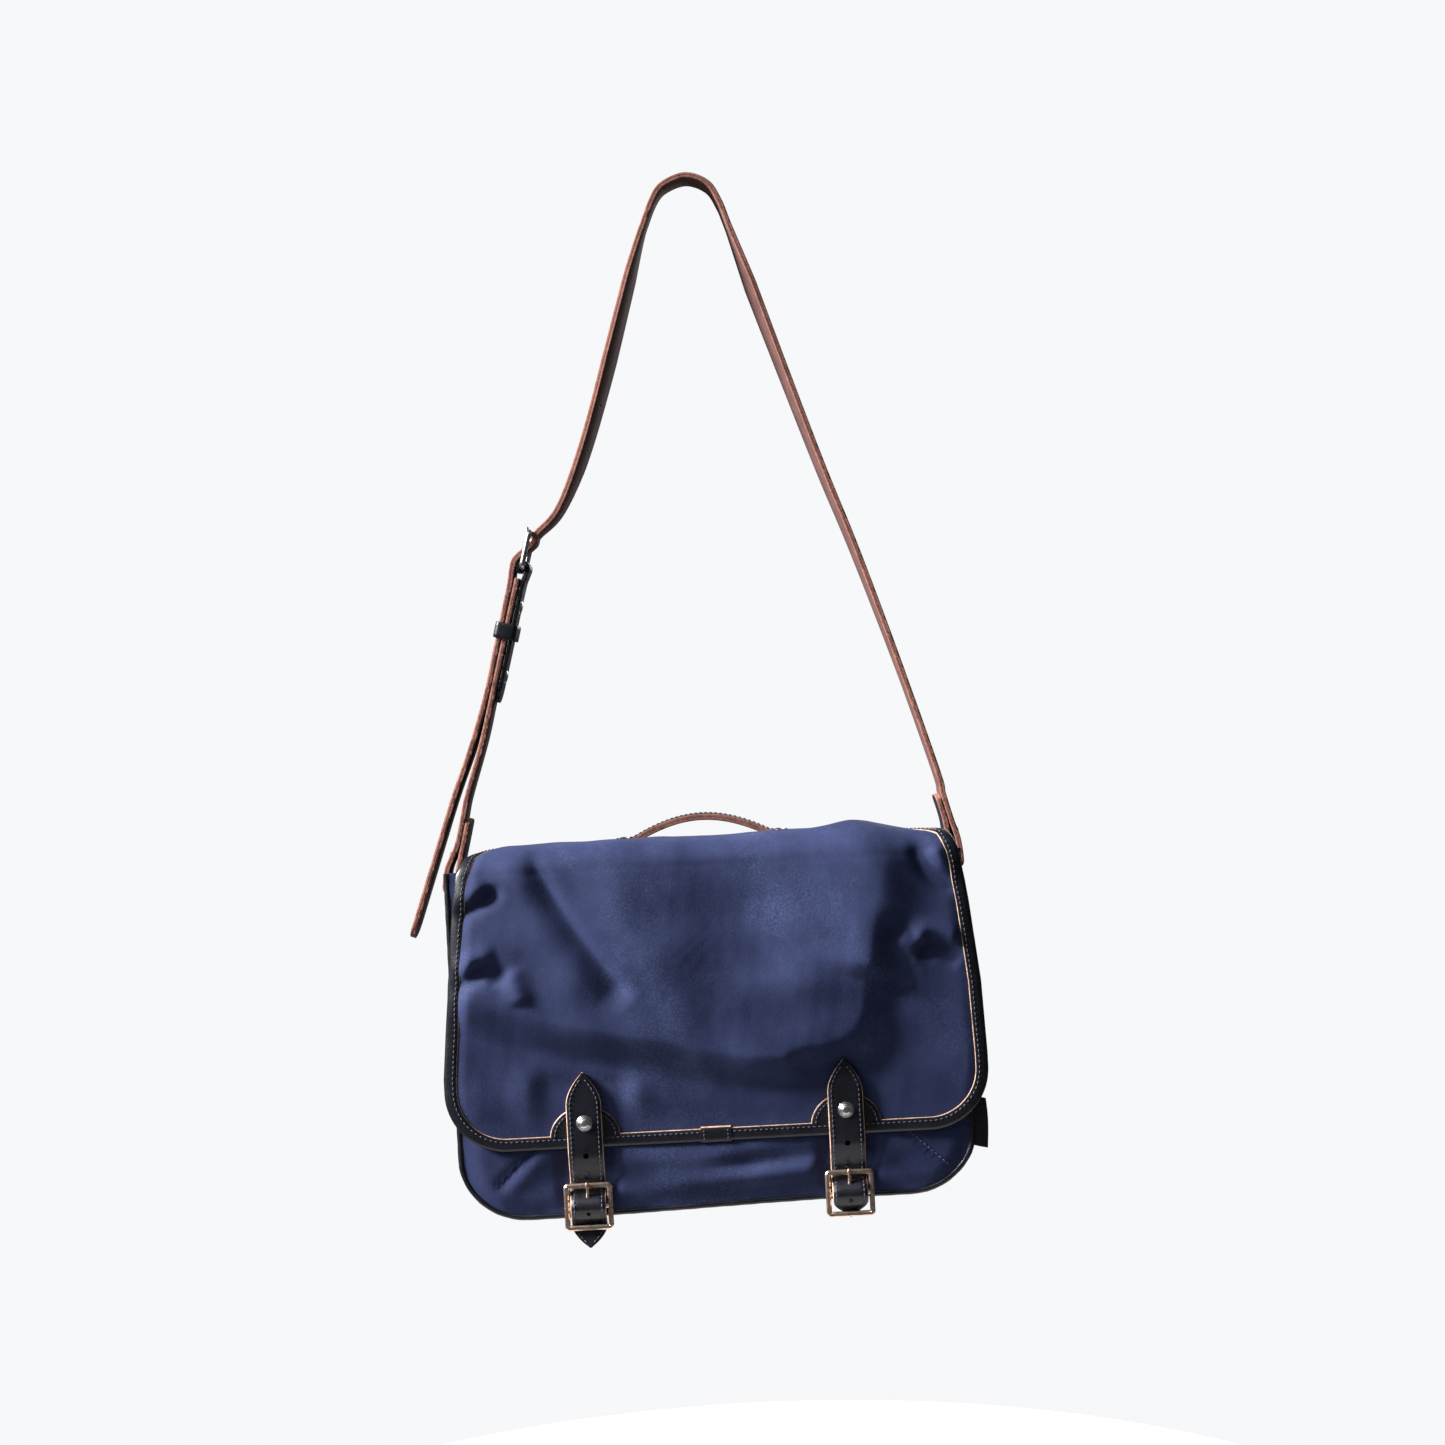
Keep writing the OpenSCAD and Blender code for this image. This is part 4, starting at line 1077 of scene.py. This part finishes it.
inner.append(shell(panel_grid(lining_wall(-51.6, 1, 51), FRONT_TOP - 4, 70), 0.8, True))
inner.append(shell(panel_grid(lining_wall(51.4, -1, 52), BACK_TOP - 4, 70), 0.8))
lining = piece("lining_cloth", inner, [LINING] * 3, 60)
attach(lining, "bag")
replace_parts(lining, "lining")

POCKET_HALF, POCKET_LOW, POCKET_TOP, POCKET_SOFT = 95, 70, 210, 30
pocket_x, pocket_z = np.meshgrid(np.linspace(-POCKET_HALF, POCKET_HALF, 44),
                                 np.linspace(POCKET_LOW, POCKET_TOP, 34))
pocket_in = np.minimum(POCKET_HALF - np.abs(pocket_x), pocket_z - POCKET_LOW) / POCKET_SOFT
pocket_sag = 2.2 * smooth(150, POCKET_TOP, pocket_z) * (1 - (pocket_x / POCKET_HALF) ** 2)
pocket_y = 49.2 - 5.0 * np.sqrt(np.clip(pocket_in, 0, 1)) - pocket_sag
pocket_grid = np.stack([pocket_x, pocket_y, pocket_z], -1)
pocket = piece("inner_pocket_cloth", [shell(pocket_grid, 1.0)], [LINING] * 3, 60)
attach(pocket, "bag")
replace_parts(pocket, "inner_pocket")
hem = [stitches(pocket_grid[-3] + [0, -0.9, 0], -Y_AXIS, 3.6)]
hem += [stitches(pocket_grid[:, k] + [0, -0.9, 0], -Y_AXIS, 3.6) for k in (1, -2)]
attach(piece("inner_pocket_stitches", hem, [THREAD]), "bag")


def lip(path, across):
    """A folded leather edge over the rim of a wall."""
    profile = [(-2.0, -7.5), (-1.9, -1.2), (-1.3, 0.3), (0, 0.8), (1.3, 0.3), (1.9, -1.2), (2.0, -7.5),
               (1.1, -7.5), (0.9, -1.6), (-0.9, -1.6), (-1.1, -7.5)]
    return sweep(path, across, Z_AXIS, profile, [0] * 5 + [1] + [0] * 4 + [1])


mouth_x = np.linspace(-178, 178, 60)
mouth = front_point(mouth_x, FRONT_TOP)
mouth[:, 1] += 0.8
mouth[:, 2] += 0.5 + 0.8 * np.sin(mouth_x / 31)
mouth_parts = [lip(mouth, Y_AXIS)]
for s in (-1, 1):
    ys = np.linspace(-49, 49, 24)
    side_edge = np.stack([np.full(24, s * (PANEL_HALF - 2.2)), ys, np.full(24, SIDE_TOP + 0.5)], 1)
    mouth_parts.append(lip(side_edge, X_AXIS))
mouth_edge = piece("mouth_leather_edge", mouth_parts, [LEATHER, TAN], 50)
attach(mouth_edge, "bag")
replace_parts(mouth_edge, "mouth_binding")

strip_x, strip_z = np.meshgrid(np.linspace(-153, 153, 60), np.linspace(244, 263, 8))
strip_y = 51.2 + 0.25 * np.sin(strip_x / 17)
anchor = piece("flap_seam_strip", [shell(np.stack([strip_x, strip_y, strip_z], -1), 1.2)], [CLOTH] * 3,
               60)
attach(anchor, "bag")
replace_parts(anchor, "flap_anchor_strip")


def piping(y, top, name, node):
    edge = resample(outline(-1.9, top), 3.0)
    wob = 0.25 * np.sin(np.arange(len(edge)) * 0.5)
    path = settled(np.stack([edge[:, 0], y + wob, edge[:, 1]], 1))
    t = tangents(path)
    out = unit(np.cross(t, Y_AXIS))
    flange = sweep(path - out * 3.2 * np.sign((out * (path - np.array([0, y, 120]))).sum(1))[:, None], Y_AXIS,
                   out, [(-0.7, -2.2), (0.7, -2.2), (0.7, 2.4), (-0.7, 2.4)], [0] * 4)
    part = tube(path, 2.3 + 0.08 * np.sin(np.arange(len(edge)) * 1.3), sides=12)
    obj = piece(name, [part, flange], [LEATHER], 50)
    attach(obj, "bag")
    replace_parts(obj, node)


piping(-53.6, 258, "front_piping_cord", "front_piping")
piping(52.6, 258, "back_piping_cord", "back_piping")

dart = np.array([(136 + 32 * t, 52 - 36 * t) for t in np.linspace(0, 1, 20)])
dart_line = front_point(dart[:, 0] + 2.6, dart[:, 1] + 2.2, 0.05)
darts = piece("corner_dart_stitches", [stitches(dart_line, -Y_AXIS, 3.6)], [THREAD])
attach(darts, "bag")

tag_u, tag_v = np.meshgrid(np.linspace(0, 1, 10), np.linspace(0, 1, 22))
tag_x = 189.5 + 10.5 * tag_u + 1.2 * np.sin(tag_v * 3) * tag_u
tag_y = -54.2 + 2.6 * tag_u ** 2 + 0.8 * np.sin(tag_v * 5) * tag_u
tag_z = 38 + 37 * tag_v - 3.0 * tag_u
tag = piece("side_tag_ribbon", [shell(np.stack([tag_x, tag_y, tag_z], -1), 1.1, True)], [TAG] * 3)
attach(tag, "bag")
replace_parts(tag, "side_tag")

# ---------------------------------------------------------------- closures
CLOSURE_W, CLOSURE_T, BAR_Y, BAR_Z = 26, 3.0, -64.4, 9.6
FRAME_W, FRAME_H = 35.7, 34.5
CAP_Y, CAP_Z = -66.6, 71
PATCH_Z, PATCH_FLAT, PATCH_Y, PATCH_SEWN = 60.5, 0.86, -61.6, 22.4
closure_route = [(-65, 108), (-65, 96), (-65, 80), (-65, 66), (-65, 50.5), (-63.2, 42), (-59.7, 32),
                 (-59, 24.6), (-62.4, 18.6), (-67.4, 15.0), (-69.95, 9.6), (-67.1, 3.8), (-61.8, -1.8),
                 (-60.7, -6), (-61, -11), (-62.9, -21)]
closure_profile, closure_index = band_profile(CLOSURE_W, CLOSURE_T, 0.25, 0.14)


def closure_strap(route):
    _, path, out, wide = band(route, CLOSURE_W, CLOSURE_T, "yz", step=1.2,
                              ends=(("ogive", 24), ("point", 17)))
    if out[3, 1] > 0:
        out = -out
    return sweep(path, X_AXIS, out, closure_profile, closure_index, width=wide), path, out, wide


patch_angles = np.radians(np.linspace(0, 180, 40))

for s, name in ((-1, "left"), (1, "right")):
    x0 = CLOSURE_X * s
    # the left tail hangs below its buckle, the right one ends behind its frame
    closure_part, closure_path, closure_out, closure_wide = closure_strap(
        closure_route if s < 0 else closure_route[:-2] + [(-60.6, -8.6)])
    strap = piece("closure_leather_" + name, [shift(closure_part, x0)], [LEATHER, FLESH, TAN],
                  45)
    holes = []
    for z in (46.6, 31.3):
        k = int(np.argmin(np.abs(closure_path[:, 2] - z)))
        p, o = closure_path[k] + [x0, 0, 0], closure_out[k]
        holes.append(rod(p - o * 4, p + o * 4, 2.1, False, 18))
    holes.append(rod((x0, -76, BAR_Z - 4.5), (x0, -60, BAR_Z - 4.5), 1.5, False, 18))
    cut(strap, holes)
    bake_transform(strap)
    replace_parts(strap, "closure_top_" + name, "closure_strap_" + name, "closure_tail_" + name)
    lines = edge_lines(closure_path, closure_out, closure_wide, CLOSURE_W, CLOSURE_T, 2.9, X_AXIS)
    sewn = [stitches(line + [x0, 0, 0], -Y_AXIS, 3.6, lift=0.25) for line in lines]
    thread = piece("closure_stitches_" + name, sewn, [THREAD])
    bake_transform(thread)

    # half-round patch under the strap, sewn to the cloth
    rings = []
    for r, lift in ((0.5, 1.5), (12, 1.5), (22, 1.5), (24.6, 1.45), (25.4, 1.15), (25.8, 0.6), (25.9, -0.6)):
        rings.append(np.stack([x0 + r * np.cos(patch_angles), np.full(40, PATCH_Y - lift),
                               PATCH_Z + np.maximum(r * np.sin(patch_angles) * PATCH_FLAT, 0)], 1))
    patch_part = shell(np.array(rings), 0.4)
    patch_index = [1 if (k // 2) // 39 >= 4 and i < 2 else 0 for k, i in enumerate(patch_part[2])]
    patch = piece("closure_patch_" + name, [(patch_part[0], patch_part[1], patch_index)], [LEATHER, TAN],
                  50)
    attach(patch, "flap_front")
    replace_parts(patch, "flap_patch_" + name)
    arc = np.stack([x0 + PATCH_SEWN * np.cos(patch_angles), np.full(40, PATCH_Y - 1.55),
                    PATCH_Z + PATCH_SEWN * PATCH_FLAT * np.sin(patch_angles)], 1)
    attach(piece("closure_patch_stitches_" + name, [stitches(arc, -Y_AXIS, 3.4)], [THREAD]),
            "flap_front")

    cap = lathe((x0, CAP_Y, CAP_Z), (0, -1, 0), [(0.2, 2.75), (1.4, 2.7), (2.5, 2.45), (3.2, 2.1),
                                                 (3.5, 1.75), (3.8, 1.75), (4.1, 1.8), (4.6, 1.45),
                                                 (5.0, 0.9), (5.3, 0.35), (5.3, -0.3), (0.2, -0.3)])
    collar = lathe((x0, CAP_Y, CAP_Z), (0, -1, 0), [(0.2, 0.25), (5.7, 0.25), (5.9, 0.05), (5.9, -0.3),
                                                    (0.2, -0.3)])
    stud = rod((x0, -67, CAP_Z), (x0, -60.5, CAP_Z), 1.9)
    cap_piece = piece("closure_snap_" + name, [cap, collar, stud], [SILVER])
    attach(cap_piece, "flap_front")
    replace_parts(cap_piece, "closure_cap_" + name)

    # square frame with bevelled bars and a round centre bar
    loop = rounded_loop(FRAME_W / 2 - 1.9, FRAME_H / 2 - 1.9, 1.6, 5)
    ring_path = np.stack([x0 + loop[:, 0], np.full(len(loop), BAR_Y), BAR_Z + loop[:, 1]], 1)
    tangent = tangents(ring_path, True)
    across = unit(np.cross(tangent, Y_AXIS))
    if (across[0] * (ring_path[0] - [x0, BAR_Y, BAR_Z])).sum() < 0:
        across = -across
    bar = [(-1.9, -1.2), (-1.5, -1.6), (1.4, -1.6), (1.9, -1.1), (1.9, 0.5), (0.9, 1.6), (-1.0, 1.6),
           (-1.9, 0.8)]
    frame_part = sweep(ring_path, across, -Y_AXIS, bar, [0] * 8, True)
    centre = rod((x0 - 15.6, BAR_Y, BAR_Z), (x0 + 15.6, BAR_Y, BAR_Z), 1.55, False)
    square = piece("closure_buckle_" + name, [frame_part, centre], [COPPER], 30)
    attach(square, "buckle_" + name)
    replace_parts(square, "buckle_" + name)

    tip = BAR_Z + FRAME_H / 2 + 1.4
    line = spline([(x0, BAR_Y - 1.6, BAR_Z + 1), (x0, BAR_Y - 2.6, BAR_Z + 5), (x0, BAR_Y - 2.6, BAR_Z + 10),
                   (x0, BAR_Y - 2.9, tip - 3), (x0, BAR_Y - 2.9, tip)], 8)
    r = np.interp(np.linspace(0, 1, len(line)), [0, 0.05, 0.8, 0.97, 1], [0.9, 1.35, 1.2, 1.05, 0.5])
    eye = [(x0, BAR_Y + 2.2 * math.cos(a), BAR_Z + 2.2 * math.sin(a))
           for a in np.linspace(0, 2 * math.pi, 18, endpoint=False)]
    pin = piece("closure_prong_" + name, [tube(line, r), tube(eye, 0.85, True)], [COPPER])
    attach(pin, "prong_" + name)
    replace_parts(pin, "prong_" + name)

    low = float(base_lift(x0))
    chape_route = [(-24, low - 1.2), (-40, low - 1.4), (-49.5, low - 2.0), (-51.6, low - 5.4),
                   (-54, low - 6.4), (-57.0, low - 4.8), (-57.6, low / 2), (-58.2, 5.8), (-60.6, 7.2),
                   (-63.2, 6.7), (-66.4, 7.6), (-67.2, 9.6), (-66.2, 11.6), (-63.6, 12.4), (-60.4, 11.8),
                   (-58.4, 12.8), (-58.0, 16)]
    chape_part, _, _, _ = band(chape_route, 24, 1.8, "yz", step=0.8)
    holder = piece("closure_chape_" + name, [shift(chape_part, x0)], [LEATHER, FLESH, TAN],
                   45)
    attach(holder, "bag")
    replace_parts(holder, "chape_" + name)

# ---------------------------------------------------------------- handle
HANDLE_Y, HANDLE_W, HANDLE_T, HANDLE_HALF, HANDLE_RIVET_X = 24, 24, 4.8, 68, 60
handle_row = FLAP_AT[np.argmin(np.abs(FLAP_LINE[:, 0] - HANDLE_Y))]
arch_route = []
for q in np.linspace(-1, 1, 61):
    lift = 16.5 * max(0.0, math.cos(q * 1.28 * math.pi / 2)) ** 0.9 if abs(q) < 0.78 else 0.0
    x = q * HANDLE_HALF
    ground = float(flap_surface(x, handle_row)[0][..., 2])
    arch_route.append((x, ground + 2.4 + lift))
arch_route = np.array(arch_route)
kernel = np.array([1, 2, 3, 2, 1]) / 9
arch_route[2:-2, 1] = np.convolve(arch_route[:, 1], kernel, "valid")
handle_part, handle_path, handle_out, handle_wide = band(
    arch_route, HANDLE_W, HANDLE_T, ends=(("round", 9), ("round", 9)), n=3, step=1.6)
handle = piece("handle_leather", [shift(handle_part, 0, HANDLE_Y)], [STRAP_FACE, FLESH, EDGE],
               45)
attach(handle, "flap_top")
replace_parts(handle, "handle")
handle_lines = edge_lines(handle_path, handle_out, handle_wide, HANDLE_W, HANDLE_T, 2.6, Y_AXIS)
handle_sewn = [stitches(p + [0, HANDLE_Y, 0], Z_AXIS, 3.8) for p in handle_lines]
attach(piece("handle_stitches", handle_sewn, [THREAD]), "flap_top")
foot_heads = []
for s in (-1, 1):
    x = HANDLE_RIVET_X * s
    top = float(np.interp(x, handle_path[:, 0], handle_path[:, 2])) + 2.3
    foot_heads.append(lathe((x, HANDLE_Y, top), (0, 0, 1), [(0.3, 1.5), (2.0, 1.4), (3.2, 1.0), (4.0, 0.4),
                                                            (4.0, -0.4), (0.3, -0.4)]))
    foot_heads.append(rod((x, HANDLE_Y, top - 4), (x, HANDLE_Y, top), 1.8))
feet = piece("handle_rivet_heads", foot_heads, [SILVER])
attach(feet, "flap_top")
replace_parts(feet, "handle_rivets")

# ---------------------------------------------------------------- the CAD node that stays, and the cloth
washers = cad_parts["cap_washers"]
washers.data.materials.clear()
washers.data.materials.append(SILVER)

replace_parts(flap_cloth, "flap_front")
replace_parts(flap_back, "flap_top")
on_fold(flap_cloth)
on_back(flap_back)

# ---------------------------------------------------------------- stage, lights and camera


def disc(name, centre, radius, material):
    sides = 96
    a = np.linspace(0, 2 * math.pi, sides, endpoint=False)
    rings = [np.asarray(centre) + np.stack([r * np.cos(a), r * np.sin(a), np.zeros(sides)], 1)
             for r in np.linspace(radius / 40, radius, 14)]
    faces = quads(len(rings), sides) + [tuple(range(sides))]
    mesh = bpy.data.meshes.new(name)
    mesh.from_pydata(np.concatenate(rings).tolist(), [], faces)
    mesh.materials.append(material)
    return linked(name, mesh)


FLOOR = plaster_material("pale_floor", (0.34, 0.34, 0.35))
MIDDLE_X, FLOOR_Z, FLOOR_R, LAMP_FAR = 14, -330, 0.58, 2.5
disc("floor", row((MIDDLE_X, 0, FLOOR_Z)), FLOOR_R, FLOOR)


def lamp(name, kind, towards, energy, colour=(1, 1, 1), **settings):
    data = bpy.data.lights.new(name, kind)
    data.energy, data.color = energy, colour
    for key, value in settings.items():
        setattr(data, key, value)
    obj = linked(name, data)
    away = Vector(towards).normalized()
    obj.location = away * LAMP_FAR + Vector(row((MIDDLE_X, 0, 300)))
    obj.rotation_mode = "QUATERNION"
    obj.rotation_quaternion = away.to_track_quat("Z", "Y")


lamp("key", "SUN", (-1.25, -0.30, 0.85), 16.8, (1.0, 0.985, 0.96), angle=math.radians(17))
lamp("soft_left", "AREA", (-1.0, -0.85, 0.42), 14, (0.95, 0.97, 1.0), size=0.8)
lamp("soft_top", "AREA", (-0.2, -0.7, 1.0), 7, (1.0, 1.0, 1.0), size=1.4)
lamp("back_fill", "AREA", (0.5, 1.0, 0.5), 26, (1.0, 1.0, 1.0), size=1.8)

world = bpy.data.worlds.new("studio")
bpy.context.scene.world = world
world.use_nodes = True
sky = world.node_tree.nodes
links = world.node_tree.links
light_path = sky.new("ShaderNodeLightPath")
mix = sky.new("ShaderNodeMixShader")
ambient, seen = sky["Background"], sky.new("ShaderNodeBackground")
put(ambient, Color=(0.86, 0.88, 0.93, 1), Strength=0.06)
put(seen, Color=(0.93, 0.935, 0.95, 1), Strength=1.0)
links.new(light_path.outputs["Is Camera Ray"], mix.inputs["Fac"])
links.new(ambient.outputs["Background"], mix.inputs[1])
links.new(seen.outputs["Background"], mix.inputs[2])
links.new(mix.outputs["Shader"], sky["World Output"].inputs["Surface"])

view_layer = bpy.context.scene.view_settings
view_layer.view_transform = "Standard"
camera_data = bpy.data.cameras.new("camera")
LENS, SENSOR, ROLL = 57.6, 36, 3
camera_data.lens, camera_data.sensor_width = LENS, SENSOR
camera = linked("camera", camera_data)
camera.location = row((20.5, -1760, 359))
camera.rotation_mode = "XYZ"
camera.rotation_euler = (math.pi / 2, 0, 0)
camera.rotation_euler.rotate_axis("Z", -math.radians(ROLL))
bpy.context.scene.camera = camera
